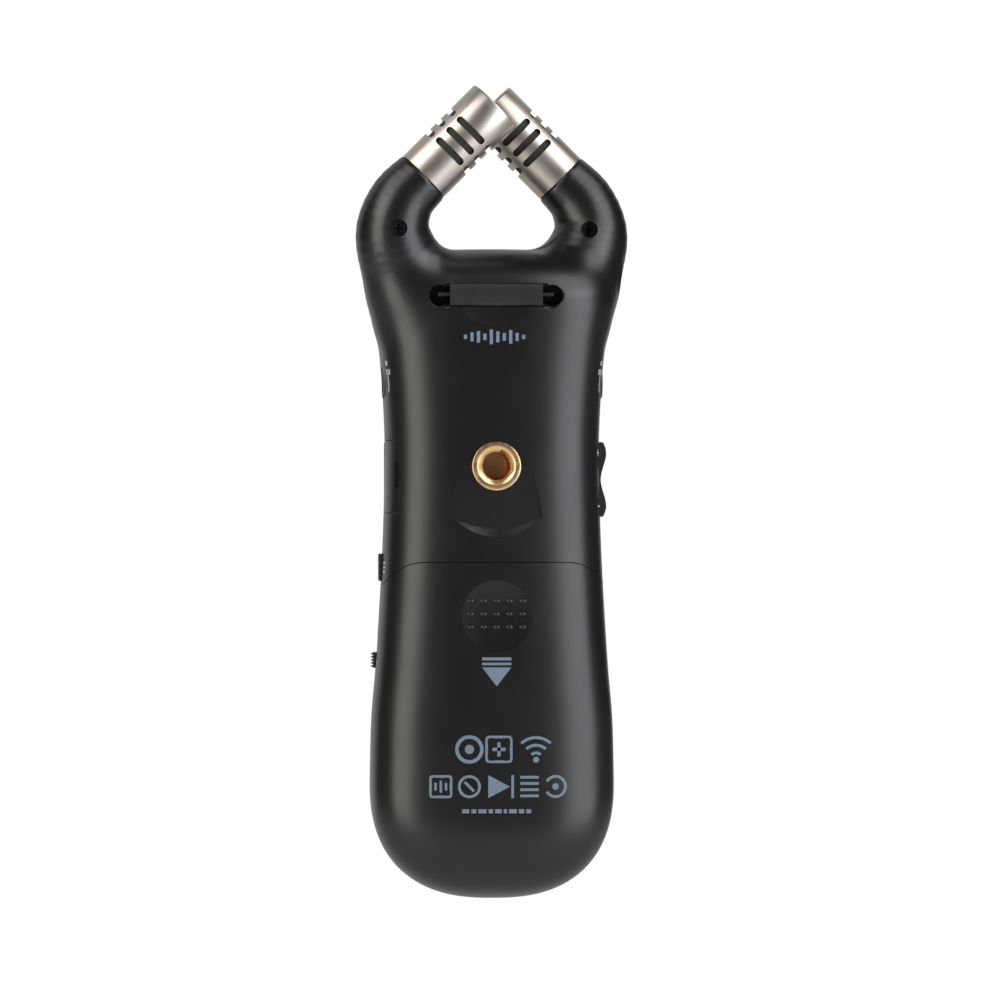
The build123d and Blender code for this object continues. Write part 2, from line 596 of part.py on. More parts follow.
def switch_points():
    """Places of the five switches under the front controls."""
    return [(0, RECORD_Z)] + list(KEY_POSITIONS.values())


def make_key_mat():
    """Silicone sheet with a plunger over every switch."""
    mat = front_plate(0, 57.5, 24.0, 34.0, -6.7, 0.7, 2.0)
    for x, z in switch_points():
        mat = mat + rod((x, -6.6, z), (x, -4.1, z), 1.1)
    return mat


def dome_switches():
    """Metal dome switches on the front of the board."""
    front_y, rear_y = BOARD_Y[0] - 0.6, BOARD_Y[0] - CONTACT_GAP
    return [rod((x, front_y, z), (x, rear_y, z), 2.0) for x, z in switch_points()]


def make_light_pipe():
    """Clear pipe from the record light on the board to the fascia."""
    collar_y = FASCIA_Y + WALL + 0.1
    pipe = rod((0, FASCIA_Y - 0.1, LED_Z), (0, BOARD_Y[0] - 0.7, LED_Z), LED_RADIUS)
    return pipe + rod((0, collar_y, LED_Z), (0, collar_y + 0.7, LED_Z), LED_RADIUS + 0.6)


def make_window():
    """Clear window over the display."""
    pane = front_plate(0, WINDOW_Z, WINDOW_WIDTH, WINDOW_HEIGHT, FASCIA_Y, WINDOW_THICK - 0.03, 1.5)
    return chamfer(pane.faces().sort_by(Axis.Y)[0].edges(), 0.15)


def make_lcd():
    """Liquid crystal panel and its backlight tile."""
    panel = block(-11.5, 11.5, -9.3, -7.9, WINDOW_Z - 10.8, WINDOW_Z + 10.8)
    return panel + block(-10.8, 10.8, -7.95, -6.9, WINDOW_Z - 10.2, WINDOW_Z + 10.2)


def make_lcd_frame():
    """Frame that carries the display panel on the main board."""
    frame = block(-12.3, 12.3, -9.0, BOARD_Y[0] - CONTACT_GAP, WINDOW_Z - 12.0, WINDOW_Z + 10.4)
    frame = frame - block(-11.55, 11.55, -10, -7.0, WINDOW_Z - 10.85, WINDOW_Z + 11.0)
    return frame - block(-10.9, 10.9, -7.1, BOARD_Y[0] + 0.1, WINDOW_Z - 10.3, WINDOW_Z + 11.0)


# ------------------------------------------------------------- side controls
def make_rocker():
    """Volume rocker: two proud lobes with a flush dip between them, on one pivot."""
    x_surface = half_width(ROCKER_Z)
    x_peak = x_surface + ROCKER_LOBE
    half = ROCKER_HEIGHT / 2
    x_base = x_surface - 1.6
    crown = Spline((x_surface + 0.5, half), (x_peak, half - 1.9), (x_surface + 0.1, 0),
                   (x_peak, 1.9 - half), (x_surface + 0.5, -half))
    outline = [crown,
               Line((x_surface + 0.5, -half), (x_base, -half)),
               Line((x_base, -half), (x_base, half)),
               Line((x_base, half), (x_surface + 0.5, half))]
    plane = Plane(origin=(0, ROCKER_WIDTH / 2, ROCKER_Z), x_dir=(-1, 0, 0), z_dir=(0, 1, 0))
    body = extrude(plane * make_face(outline), -ROCKER_WIDTH)
    eye = rod((-rocker_pivot_x(), -2.0, ROCKER_Z), (-rocker_pivot_x(), 2.0, ROCKER_Z), 1.2)
    web = block(-rocker_pivot_x(), -x_base - 0.1, -2.0, 2.0, ROCKER_Z - 1.0, ROCKER_Z + 1.0)
    mark = rod((-x_peak + 0.2, 0, ROCKER_Z - half + 1.9), (-x_peak - 0.15, 0, ROCKER_Z - half + 1.9), 0.45)
    return body + web + eye + mark - rocker_pin_rod(ROCKER_PIN_RADIUS + SHAFT_GAP, 4)


def rocker_pivot_x():
    """Distance of the rocker's pivot from the middle of the body."""
    return half_width(ROCKER_Z) - ROCKER_PIVOT_INSET


def rocker_pin_rod(radius, reach):
    """Rod on the rocker's pivot axis."""
    x = -rocker_pivot_x()
    return rod((x, -reach, ROCKER_Z), (x, reach, ROCKER_Z), radius)


def make_rocker_bracket():
    """Post and ear that hold the rocker's pivot pin above the board."""
    x = -rocker_pivot_x()
    ear = block(x - 1.1, x + 3.2, 2.2, 3.2, ROCKER_Z - 1.3, ROCKER_Z + 1.3)
    bridge = block(x + 2.2, x + 3.2, BOARD_Y[1] + CONTACT_GAP, 3.2, ROCKER_Z - 1.3, ROCKER_Z + 1.3)
    return ear + bridge - rocker_pin_rod(ROCKER_PIN_RADIUS + 0.01, 4)


def make_menu_button():
    """Small push button in the right side wall."""
    x_surface = half_width(MENU_Z)
    button = side_plate(1, x_surface - 2.8, 2.8 + MENU_PROUD, MENU_Y, MENU_Z, MENU_WIDTH, MENU_HEIGHT, 0.7)
    button = chamfer(button.faces().sort_by(Axis.X)[-1].edges(), 0.15)
    flange = side_plate(1, x_surface - 3.1, 0.6, MENU_Y, MENU_Z, MENU_WIDTH + 1.2, MENU_HEIGHT + 1.2, 1.0)
    return button + flange


def make_slider():
    """Ribbed power and hold knob with the tongue that drives its switch."""
    x_floor = half_width(SLIDER_Z + 1) - 0.65
    knob = side_plate(1, x_floor, 1.05, SLIDER_Y, SLIDER_Z, SLIDER_KNOB_WIDTH, SLIDER_KNOB_HEIGHT, 0.5)
    for rib in range(-2, 3):
        z = SLIDER_Z + rib * 0.56
        knob = knob + side_plate(1, x_floor + 0.5, 0.9, SLIDER_Y, z, SLIDER_KNOB_WIDTH - 0.6, 0.28, 0.1)
    tongue = side_plate(1, 17.6, x_floor - 17.4, SLIDER_Y, SLIDER_Z, 1.6, 1.6, 0.3)
    return knob + tongue


def side_switches():
    """Push switches for the two ends of the rocker and for the side button."""
    bodies = []
    for z in (ROCKER_Z - 5.2, ROCKER_Z + 5.2):
        bodies.append(block(-16.2, -13.6, BOARD_Y[1] + CONTACT_GAP, 1.4, z - 1.8, z + 1.8)
                      + rod((-16.1, -0.2, z), (-17.0, -0.2, z), 0.8))
    bodies.append(block(13.4, 15.8, BOARD_Y[1] + CONTACT_GAP, 1.0, MENU_Z - 2.2, MENU_Z + 2.2)
                  + rod((15.7, MENU_Y, MENU_Z), (16.45, MENU_Y, MENU_Z), 0.8))
    return bodies


def make_slide_switch():
    """Slide switch on the front of the board; its slot takes the knob's tongue."""
    low_z, high_z = SLIDER_Z - 1.6, SLIDER_Z + SLIDER_TRAVEL + 1.6
    return block(13.4, 17.5, BOARD_Y[0] - 2.4, BOARD_Y[0] - CONTACT_GAP, low_z, high_z)


def make_jack(side):
    """3.5 mm jack: barrel in the side wall and a moulded body on the board."""
    x_face = half_width(JACK_Z) - 0.1
    body = block(side * 6.0, side * 16.9, BOARD_Y[1] + CONTACT_GAP, 3.3, JACK_Z - 3.1, JACK_Z + 3.1)
    barrel = rod((side * 16.5, JACK_Y, JACK_Z), (side * x_face, JACK_Y, JACK_Z), JACK_RADIUS)
    barrel = chamfer(barrel.faces().sort_by(Axis.X)[-1 if side > 0 else 0].edges(), 0.2)
    bore_start = side * (x_face - JACK_BORE_DEPTH)
    return body + barrel - rod((bore_start, JACK_Y, JACK_Z), (side * 30, JACK_Y, JACK_Z), JACK_BORE_RADIUS)


def make_usb_socket():
    """USB-C receptacle: rounded metal shell with its tongue."""
    x_face = half_width(USB_Z) - 0.25
    shell = side_plate(-1, x_face - 7.4, 7.4, USB_Y, USB_Z, 3.1, 8.9, 1.5)
    shell = shell - side_plate(-1, x_face - 6.8, 10, USB_Y, USB_Z, 2.5, 8.3, 1.2)
    return shell + side_plate(-1, x_face - 7.0, 6.0, USB_Y, USB_Z, 0.7, 6.6, 0.2)


def make_card_socket():
    """Card holder on the back of the board, open towards the door."""
    z_low, z_high = DOOR_Z[0] - 0.2, DOOR_Z[1] + 0.2
    middle = (z_low + z_high) / 2
    body = block(1.4, 16.3, BOARD_Y[1] + CONTACT_GAP, -0.4, z_low, z_high)
    return body - block(1.8, 17, -1.95, -0.85, middle - 5.6, middle + 5.6)


def make_card():
    """Memory card with its stepped contact edge."""
    middle = (DOOR_Z[0] + DOOR_Z[1]) / 2
    card = block(2.6, 17.2, -1.9, -0.9, middle - 5.5, middle + 5.5)
    return card - block(2.0, 8.0, -3, 0, middle + 4.6, middle + 6)


# ------------------------------------------------------- boards and batteries
def make_board():
    """Main circuit board, notched beside the upper case screws."""
    board = block(-BOARD_HALF_WIDTH, BOARD_HALF_WIDTH, *BOARD_Y, *BOARD_Z)
    for side in (1, -1):
        board = board - block(side * BOARD_NOTCH_HALF_WIDTH, side * 20, -5, 0, *BOARD_NOTCH_Z)
    for x, z in board_screw_points():
        board = board - rod((x, -5, z), (x, 0, z), 0.9)
    return board


def board_screw_points():
    """Places of the four screws that hold the board."""
    return [(side * 14.2, z) for side in (1, -1) for z in (40.0, 104.5)]


def board_posts():
    """Posts in the front shell that carry the main board."""
    foot_y, top_y = FASCIA_Y + WALL - 0.6, BOARD_Y[0] - CONTACT_GAP
    return [rod((x, foot_y, z), (x, top_y, z), 1.7) for x, z in board_screw_points()]


def board_screws():
    """Four small screws through the board into the front shell's posts."""
    head_y = BOARD_Y[1] + CONTACT_GAP
    return [make_screw((x, head_y, z), (0, -1, 0), 4.0, 0.7, 1.4, 0.8) for x, z in board_screw_points()]


def make_tray():
    """Battery tray: floor, side walls, end walls and four screw lugs."""
    low, high = TRAY_Z
    half = CELL_X + CELL_RADIUS + 0.3
    tray = block(-half - TRAY_WALL, half + TRAY_WALL, *TRAY_FLOOR_Y, low, high)
    for side in (1, -1):
        tray = tray + block(side * half, side * (half + TRAY_WALL), TRAY_FLOOR_Y[1] - 0.1, 4.0, low, high)
        for height in CASE_SCREW_HEIGHTS:
            tray = tray + block(side * half, side * 16.9, *TRAY_FLOOR_Y, height - 2.6, height + 2.6)
            tray = tray - rod((side * CASE_SCREW_X, -5, height), (side * CASE_SCREW_X, 0, height), 1.0)
    for z0, z1 in ((low, low + TRAY_WALL), (high - TRAY_WALL, high)):
        tray = tray + block(-half - TRAY_WALL, half + TRAY_WALL, TRAY_FLOOR_Y[1] - 0.1, TRAY_END_Y, z0, z1)
    return tray


def cell_span():
    """Lowest and highest point of the two cells, one each way up."""
    low, high = TRAY_Z[0] + TRAY_WALL + 0.35, TRAY_Z[1] - TRAY_WALL - 0.35
    return {1: (high - CELL_LENGTH, high), -1: (low, low + CELL_LENGTH)}


def make_cells():
    """Two AAA cells, the second one upside down."""
    cells = []
    for way, (low, high) in cell_span().items():
        x = way * CELL_X
        body_low, body_high = (low, high - CELL_NUB) if way > 0 else (low + CELL_NUB, high)
        cell = rod((x, CELL_Y, body_low), (x, CELL_Y, body_high), CELL_RADIUS)
        cells.append(cell + rod((x, CELL_Y, low), (x, CELL_Y, high), 1.9))
    return cells


def contact_springs():
    """Coil under the flat end of each cell."""
    spans = cell_span()
    gap = 0.3
    wire = 0.22
    lower = (TRAY_Z[0] + TRAY_WALL + gap + wire, spans[1][0] - gap / 2 - wire)
    upper = (spans[-1][1] + gap / 2 + wire, TRAY_Z[1] - TRAY_WALL - gap - wire)
    coils = []
    for way, (z0, z1) in ((1, lower), (-1, upper)):
        path = Pos(way * CELL_X, CELL_Y, z0) * Helix(pitch=(z1 - z0) / 3, height=z1 - z0, radius=2.4)
        plane = Plane(origin=path @ 0, z_dir=path % 0)
        coils.append(sweep(plane * Circle(wire), path))
    return coils


def contact_plates():
    """Sheet contacts on the tray's end walls, one bridge and two single tabs."""
    thick = 0.25
    low, high = TRAY_Z[0] + TRAY_WALL + 0.02, TRAY_Z[1] - TRAY_WALL - 0.02
    bridge = block(-10.4, 10.4, 0.2, TRAY_END_Y, low, low + thick)
    tabs = [block(way * 1.0, way * 10.4, 0.2, TRAY_END_Y, high - thick, high) for way in (1, -1)]
    return [bridge] + tabs


def make_speaker():
    """Small round loudspeaker behind the fascia grille."""
    y_front = FASCIA_Y + WALL + 0.05
    rim = ring((0, y_front, SPEAKER_Z), (0, y_front + 1.2, SPEAKER_Z), SPEAKER_RADIUS, SPEAKER_RADIUS - 1.2)
    cone = rod((0, y_front + 0.7, SPEAKER_Z), (0, y_front + 2.4, SPEAKER_Z), SPEAKER_RADIUS - 0.9)
    magnet = rod((0, y_front + 2.3, SPEAKER_Z), (0, y_front + 4.2, SPEAKER_Z), 5.0)
    return rim + cone + magnet


# ------------------------------------------------------------------ write all
os.makedirs("parts", exist_ok=True)

front_shell, back_shell, battery_cover, card_door = make_shells()
save("front_shell", front_shell)
save("back_shell", back_shell)
save("battery_cover", battery_cover)
save("card_door", card_door)
save("card_door_pin", door_pin_rod(DOOR_PIN_RADIUS, 0.85))

mics = {"right": make_mic(1), "left": make_mic(-1)}
for side_name, (housing, screen, grille, element, mount, wire) in mics.items():
    save(f"mic_housing_{side_name}", housing)
    save(f"mic_screen_{side_name}", screen)
    save(f"mic_grille_{side_name}", grille)
    save(f"mic_element_{side_name}", element)
    save(f"mic_mount_{side_name}", mount)
    save(f"mic_wire_{side_name}", wire)

save("tripod_insert", make_insert())
save("arm_screws", *arm_screws())
save("case_screws", *case_screws())
save("board_screws", *board_screws())
save("strap_bar", make_strap_bar())

save("display_window", make_window())
save("display_panel", make_lcd())
save("display_frame", make_lcd_frame())
save("record_button", make_record_button())
for key_name, (key_x, key_z) in KEY_POSITIONS.items():
    save(key_name, make_key(key_x, key_z))
save("key_mat", make_key_mat())
save("dome_switches", *dome_switches())
save("light_pipe", make_light_pipe())
save("speaker", make_speaker())

save("volume_rocker", make_rocker())
save("rocker_pin", rocker_pin_rod(ROCKER_PIN_RADIUS, 3.1) & block(-40, 40, BOARD_Y[1] + 0.05, 20, 0, 200))
save("rocker_bracket", make_rocker_bracket())
save("menu_button", make_menu_button())
save("power_slider", make_slider())
save("side_switches", *side_switches())
save("slide_switch", make_slide_switch())
save("line_in_jack", make_jack(1))
save("headphone_jack", make_jack(-1))
save("usb_socket", make_usb_socket())
save("card_socket", make_card_socket())
save("memory_card", make_card())

save("main_board", make_board())
save("battery_tray", make_tray())
save("batteries", *make_cells())
save("contact_springs", *contact_springs())
save("contact_plates", *contact_plates())
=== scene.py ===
"""Looks of the portable field recorder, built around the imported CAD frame.

Shapes are written in the model's own millimetres: x to the right as seen from the display side,
y out of the back from the mid plane, z up from the rounded bottom end. to_frame() turns them into
the frame's metres, whose origin is on the tripod thread's axis.
"""

import json
import math

import bmesh
import bpy
import numpy as np
import openvdb
from mathutils import Matrix, Vector


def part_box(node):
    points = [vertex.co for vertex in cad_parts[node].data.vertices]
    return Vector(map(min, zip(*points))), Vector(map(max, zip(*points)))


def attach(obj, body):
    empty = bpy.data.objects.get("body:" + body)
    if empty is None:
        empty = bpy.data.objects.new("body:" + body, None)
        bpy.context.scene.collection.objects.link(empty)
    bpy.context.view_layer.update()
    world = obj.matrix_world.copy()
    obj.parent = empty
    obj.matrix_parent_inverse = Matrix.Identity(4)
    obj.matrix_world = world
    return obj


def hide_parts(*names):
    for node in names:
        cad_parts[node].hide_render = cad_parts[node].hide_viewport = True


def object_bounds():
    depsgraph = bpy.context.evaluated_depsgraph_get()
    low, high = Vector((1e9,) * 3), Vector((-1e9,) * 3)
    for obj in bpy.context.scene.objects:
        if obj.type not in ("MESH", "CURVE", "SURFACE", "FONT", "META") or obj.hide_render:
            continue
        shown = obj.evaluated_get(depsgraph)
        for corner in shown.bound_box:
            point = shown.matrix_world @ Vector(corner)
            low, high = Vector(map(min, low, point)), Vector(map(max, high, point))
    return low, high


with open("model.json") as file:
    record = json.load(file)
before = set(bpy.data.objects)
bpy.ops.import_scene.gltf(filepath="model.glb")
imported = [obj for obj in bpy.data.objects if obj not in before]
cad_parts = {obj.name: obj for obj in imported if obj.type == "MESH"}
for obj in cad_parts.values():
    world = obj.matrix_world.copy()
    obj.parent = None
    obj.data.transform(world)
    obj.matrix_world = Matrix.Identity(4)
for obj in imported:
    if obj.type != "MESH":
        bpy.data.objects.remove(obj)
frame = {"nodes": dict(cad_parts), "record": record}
cad_low, cad_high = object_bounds()
NODES = frame["nodes"]
MM = 0.001

# -------------------------------------------------------------- driving sizes, mm
INSERT_FACE_Y = 12.4         # outer face of the tripod insert, from the mid plane
TRIPOD_Z = 79.2              # height of the thread above the bottom end
SHIFT = Vector((0.0, INSERT_FACE_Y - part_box("tripod_insert")[1].y / MM, TRIPOD_Z))
BACK_DEPTH, FRONT_DEPTH, FASCIA_Y = 12.5, 12.0, -11.2
BACK_POWER, FRONT_POWER, END_POWER = 2.8, 3.6, 2.5
END_HEIGHT, DEPTH_END_HEIGHT = 22.0, 16.0
SADDLE_START_Z, SADDLE_Z = 106.0, 119.0
WALL = 1.8
# height and half width of the outline; below END_HEIGHT the rounded end narrows it
OUTLINE = [(0, 22.3), (24, 22.3), (33, 22.05), (42, 21.3), (52, 20.65), (62, 20.1), (73, 19.72), (84, 19.6),
           (92, 19.95), (100, 20.6), (106, 21.4), (112, 22.2), (116, 21.6), (119, 20.0)]
# x, y, z and radius along an arm's centre line; x and y change sign together
ARM = [(14.0, 1.0, 108.0, 7.2), (16.85, 3.2, 116.0, 7.5), (18.55, 5.0, 122.8, 6.62),
       (17.0, 5.4, 127.7, 5.95), (13.0, 5.4, 132.1, 5.36)]
ARM_BLEND = 4.0
PARTING_Y, PARTING_GAP = 1.0, 0.14
PARTING_STEP_Z = (108.0, 120.0)
COVER_TOP_Z, COVER_CORNER_RADIUS, COVER_CORNER_X = 61.7, 8.5, 13.0
SEAM = 0.17
LIP_ROOT, LIP_HEIGHT = 1.0, 0.8    # inner lip of the front shell that closes the parting line


def to_frame(points):
    """Model millimetres to frame metres."""
    return (np.asarray(points, float) - np.array(SHIFT)) * MM


# ---------------------------------------------------------------- signed distances
def smooth_curve(keys, at):
    """Monotone-friendly cubic through (position, value) keys, evaluated at an array."""
    x = np.array([k[0] for k in keys], float)
    y = np.array([k[1] for k in keys], float)
    slope = np.gradient(y, x)
    at = np.clip(at, x[0], x[-1])
    i = np.clip(np.searchsorted(x, at) - 1, 0, len(x) - 2)
    h = x[i + 1] - x[i]
    t = (at - x[i]) / h
    return ((1 + 2 * t) * (1 - t) ** 2 * y[i] + t * (1 - t) ** 2 * h * slope[i]
            + t * t * (3 - 2 * t) * y[i + 1] + t * t * (t - 1) * h * slope[i + 1])


def smooth_min(a, b, k):
    h = np.clip(0.5 + 0.5 * (b - a) / k, 0, 1)
    return b + (a - b) * h - k * h * (1 - h)


def body_level(x, y, z):
    """1 on the body's skin, less inside: superellipse sections with rounded ends, deeper behind."""
    width = smooth_curve(OUTLINE, z)
    behind = y >= 0
    power = np.where(behind, BACK_POWER, FRONT_POWER)
    depth = np.where(behind, BACK_DEPTH, FRONT_DEPTH)
    rise = np.maximum((z - SADDLE_START_Z) / (SADDLE_Z - SADDLE_START_Z), 0)
    across = (np.abs(x) / width) ** power
    through = ((np.abs(y) / depth) ** END_POWER + rise ** END_POWER) ** (power / END_POWER)
    share = across / (across + through + 1e-6)
    end_height = END_HEIGHT * share + DEPTH_END_HEIGHT * (1 - share)
    fall = np.maximum((end_height - z) / end_height, 0)
    return ((across + through) ** (END_POWER / power) + fall ** END_POWER) ** (1 / END_POWER)


def arm_path(side, steps=20):
    """Evenly spaced points and radii along an arm's smooth centre line."""
    keys = np.array(ARM, float)
    spacing = np.r_[0, np.cumsum(np.linalg.norm(np.diff(keys[:, :3], axis=0), axis=1))]
    s = np.linspace(0, spacing[-1], steps)
    columns = [smooth_curve(list(zip(spacing, keys[:, i])), s) for i in range(4)]
    points = np.stack(columns[:3], axis=1) * np.array([side, side, 1])
    return points, columns[3]


def arm_distance(x, y, z, side):
    """Distance to a chain of round cones along the arm."""
    points, radii = (part.astype(np.float32) for part in arm_path(side))
    best = np.full(np.broadcast(x, y, z).shape, 1e3, np.float32)
    for a, b, ra, rb in zip(points, points[1:], radii, radii[1:]):
        ab = b - a
        t = ((x - a[0]) * ab[0] + (y - a[1]) * ab[1] + (z - a[2]) * ab[2]) / (ab @ ab)
        t = np.clip(t, 0, 1)
        d = np.sqrt((x - a[0] - t * ab[0]) ** 2 + (y - a[1] - t * ab[1]) ** 2
                    + (z - a[2] - t * ab[2]) ** 2) - (ra + (rb - ra) * t)
        best = np.minimum(best, d)
    end, direction = arm_end(side)
    cut = (x - end.x) * direction.x + (y - end.y) * direction.y + (z - end.z) * direction.z
    return np.maximum(best, cut)


def arm_end(side):
    """Centre of an arm's end face and the direction its microphone points."""
    x, y, z, _ = ARM[-1]
    return Vector((side * x, side * y, z)), Vector((-side, 0, 1)).normalized()


def recorder_field(x, y, z, voxel):
    """Signed distance to the whole plastic body, arms blended in."""
    level = body_level(x, y, z)
    grad = np.gradient(level, voxel)
    slope = np.sqrt(grad[0] ** 2 + grad[1] ** 2 + grad[2] ** 2)
    body = (level - 1) / np.maximum(slope, 0.02)
    near = np.nonzero(z[0, 0] > ARM[0][2] - 13)[0][0]
    top = (slice(None), slice(None), slice(near, None))
    arms = np.minimum(arm_distance(x, y, z[:, :, near:], 1), arm_distance(x, y, z[:, :, near:], -1))
    body[top] = smooth_min(body[top], arms, ARM_BLEND)
    return -smooth_min(-body, -(FASCIA_Y - y), 0.8)


VOXEL = 0.4
MARGIN = 2.4
GRID_LOW = np.array([-27.2, -14.4, -2.4])
GRID_SHAPE = (137, 72, 353)


def grid_axes():
    axes = [(GRID_LOW[i] + VOXEL * np.arange(GRID_SHAPE[i])).astype(np.float32) for i in range(3)]
    return np.meshgrid(*axes, indexing="ij", sparse=True)


def sample(field, points):
    """Trilinear value of the field at points, mm."""
    at = (points - GRID_LOW) / VOXEL
    base = np.clip(np.floor(at).astype(int), 0, np.array(GRID_SHAPE) - 2)
    t = at - base
    value = 0
    for corner in range(8):
        offset = np.array([corner & 1, corner >> 1 & 1, corner >> 2 & 1])
        weight = np.prod(np.where(offset, t, 1 - t), axis=1)
        i, j, k = (base + offset).T
        value = value + weight * field[i, j, k]
    return value


def mesh_level(field, level):
    """Closed quad mesh of the surface where the field equals level."""
    grid = openvdb.FloatGrid(float(MARGIN))
    grid.copyFromArray(np.ascontiguousarray(field - level, np.float32))
    points, quads = grid.convertToQuads(isovalue=0.0)
    points = points.astype(float) * VOXEL + GRID_LOW
    grad = np.stack(np.gradient(field, VOXEL), axis=-1)
    for _ in range(2):
        slope = np.stack([sample(grad[..., i], points) for i in range(3)], axis=1)
        miss = sample(field, points) - level
        points -= slope * (miss / np.maximum((slope ** 2).sum(axis=1), 0.05))[:, None]
    return points, quads[:, ::-1]


# ------------------------------------------------------------------- mesh helpers
def add_object(name, data):
    obj = bpy.data.objects.new(name, data)
    bpy.context.scene.collection.objects.link(obj)
    return obj


def new_object(name, points, faces, smooth_angle=35.0):
    """Mesh object from model millimetres."""
    mesh = bpy.data.meshes.new(name)
    mesh.from_pydata([tuple(p) for p in to_frame(points)], [], [tuple(int(i) for i in f) for f in faces])
    mesh.validate()
    mesh.update()
    obj = add_object(name, mesh)
    shade(obj, smooth_angle)
    return obj


def shade(obj, smooth_angle=35.0):
    """Smooth shading with edges sharper than the angle kept crisp."""
    mesh = obj.data
    mesh.polygons.foreach_set("use_smooth", [True] * len(mesh.polygons))
    mesh.set_sharp_from_angle(angle=math.radians(smooth_angle))
    mesh.update()


def frame_axes(direction, up=(0, 0, 1)):
    """Unit vector of a direction and two others square to it."""
    direction = Vector(direction).normalized()
    up = Vector(up)
    if abs(direction.dot(up)) > 0.9:
        up = Vector((1, 0, 0))
    across = up.cross(direction).normalized()
    return direction, across, direction.cross(across)


def lathe(name, start, direction, profile, segments=64, smooth_angle=35.0, up=(0, 0, 1), hollow=False):
    """Turned solid from (distance along, radius) pairs, which run from axis to axis, or in a loop if hollow.

    A radius can also be an array with one value for each segment.
    """
    direction, across, other = frame_axes(direction, up)
    angle = 2 * math.pi * np.arange(segments) / segments
    around = np.outer(np.cos(angle), across) + np.outer(np.sin(angle), other)
    points, rings = [], []
    for along, radius in profile:
        centre = np.array(Vector(start) + direction * along)
        if np.max(radius) < 1e-6:
            rings.append([len(points)] * segments)
            points.append(centre)
        else:
            rings.append(range(len(points), len(points) + segments))
            points += list(centre + around * np.reshape(radius, (-1, 1)))
    faces = []
    for a, b in zip(rings, rings[1:] + rings[:1] if hollow else rings[1:]):
        for i in range(segments):
            j = (i + 1) % segments
            faces.append(list(dict.fromkeys((a[i], a[j], b[j], b[i]))))
    obj = new_object(name, points, faces, smooth_angle)
    make_outward(obj)
    return obj


def make_outward(obj, split=False):
    """Turn every face outwards, after splitting bent faces into triangles if asked."""
    work = bmesh.new()
    work.from_mesh(obj.data)
    if split:
        bmesh.ops.triangulate(work, faces=work.faces)
    bmesh.ops.recalc_face_normals(work, faces=work.faces)
    work.to_mesh(obj.data)
    work.free()
    obj.data.update()


def slab(name, lower, upper, split=False):
    """Solid between two matching outlines."""
    n = len(lower)
    faces = [list(range(n))[::-1], list(range(n, 2 * n))]
    faces += [(i, (i + 1) % n, n + (i + 1) % n, n + i) for i in range(n)]
    obj = new_object(name, [tuple(p) for p in lower + upper], faces)
    make_outward(obj, split)
    return obj


def prism(name, outline, origin, x_dir, y_dir, depth):
    """Solid from a flat outline: swept by depth along x_dir cross y_dir, from origin."""
    x_dir, y_dir = Vector(x_dir), Vector(y_dir)
    sweep = x_dir.cross(y_dir).normalized() * depth
    base = [Vector(origin) + x_dir * u + y_dir * v for u, v in outline]
    return slab(name, base, [p + sweep for p in base])


def rounded(width, height, corner, steps=8):
    """Outline of a rounded rectangle about the origin."""
    points = []
    for quarter, (cx, cy) in enumerate(((1, 1), (-1, 1), (-1, -1), (1, -1))):
        for step in range(steps + 1):
            angle = math.pi / 2 * (quarter + step / steps)
            points.append((cx * (width / 2 - corner) + corner * math.cos(angle),
                           cy * (height / 2 - corner) + corner * math.sin(angle)))
    return points


def block(name, x0, x1, y0, y1, z0, z1):
    outline = [(x0, y0), (x1, y0), (x1, y1), (x0, y1)]
    return prism(name, outline, (0, 0, z0), (1, 0, 0), (0, 1, 0), z1 - z0)


def rod(name, start, end, radius, segments=48):
    length = (Vector(end) - Vector(start)).length
    profile = [(0, 0), (0, radius), (length, radius), (length, 0)]
    return lathe(name, start, Vector(end) - Vector(start), profile, segments)


def combine(target, operation, tools):
    """Boolean of target with all the tools at once; the tools are deleted."""
    group = bpy.data.collections.new("tools")
    bpy.context.scene.collection.children.link(group)
    for tool in tools:
        group.objects.link(tool)
    modifier = target.modifiers.new("cut", "BOOLEAN")
    modifier.operation = operation
    modifier.solver = "MANIFOLD"
    if len(tools) == 1:
        modifier.object = tools[0]
    else:
        modifier.operand_type = "COLLECTION"
        modifier.collection = group
    graph = bpy.context.evaluated_depsgraph_get()
    mesh = bpy.data.meshes.new_from_object(target.evaluated_get(graph))
    old = target.data
    target.modifiers.clear()
    target.data = mesh
    bpy.data.meshes.remove(old)
    for tool in tools:
        bpy.data.objects.remove(tool)
    bpy.data.collections.remove(group)
    return target


def without(target, *tools):
    return combine(target, "DIFFERENCE", tools)


def joined_to(target, *tools):
    return combine(target, "UNION", tools)


def common_part(target, tool):
    return combine(target, "INTERSECT", [tool])


def copy_of(obj, name):
    return add_object(name, obj.data.copy())


def joined(name, objects):
    """One object from several separate solids."""
    work = bmesh.new()
    for obj in objects:
        work.from_mesh(obj.data)
        bpy.data.objects.remove(obj)
    mesh = bpy.data.meshes.new(name)
    work.to_mesh(mesh)
    work.free()
    return add_object(name, mesh)


def stretch(obj, centre, factors):
    """Scale an object along X, Y and Z about a place in model millimetres."""
    middle, scale = Vector(to_frame(centre)), Matrix.Diagonal(factors)
    for vertex in obj.data.vertices:
        vertex.co = middle + scale @ (vertex.co - middle)
    return obj


def disc(name, x, z, radius, y0, y1, segments=48):
    """Round rod along Y between two depths."""
    return rod(name, (x, y0, z), (x, y1, z), radius, segments)


def plate(name, x, z, width, height, corner, y0, y1):
    """Rounded plate parallel to the fascia between two depths."""
    return prism(name, rounded(width, height, corner), (x, y1, z), (1, 0, 0), (0, 0, 1), y1 - y0)


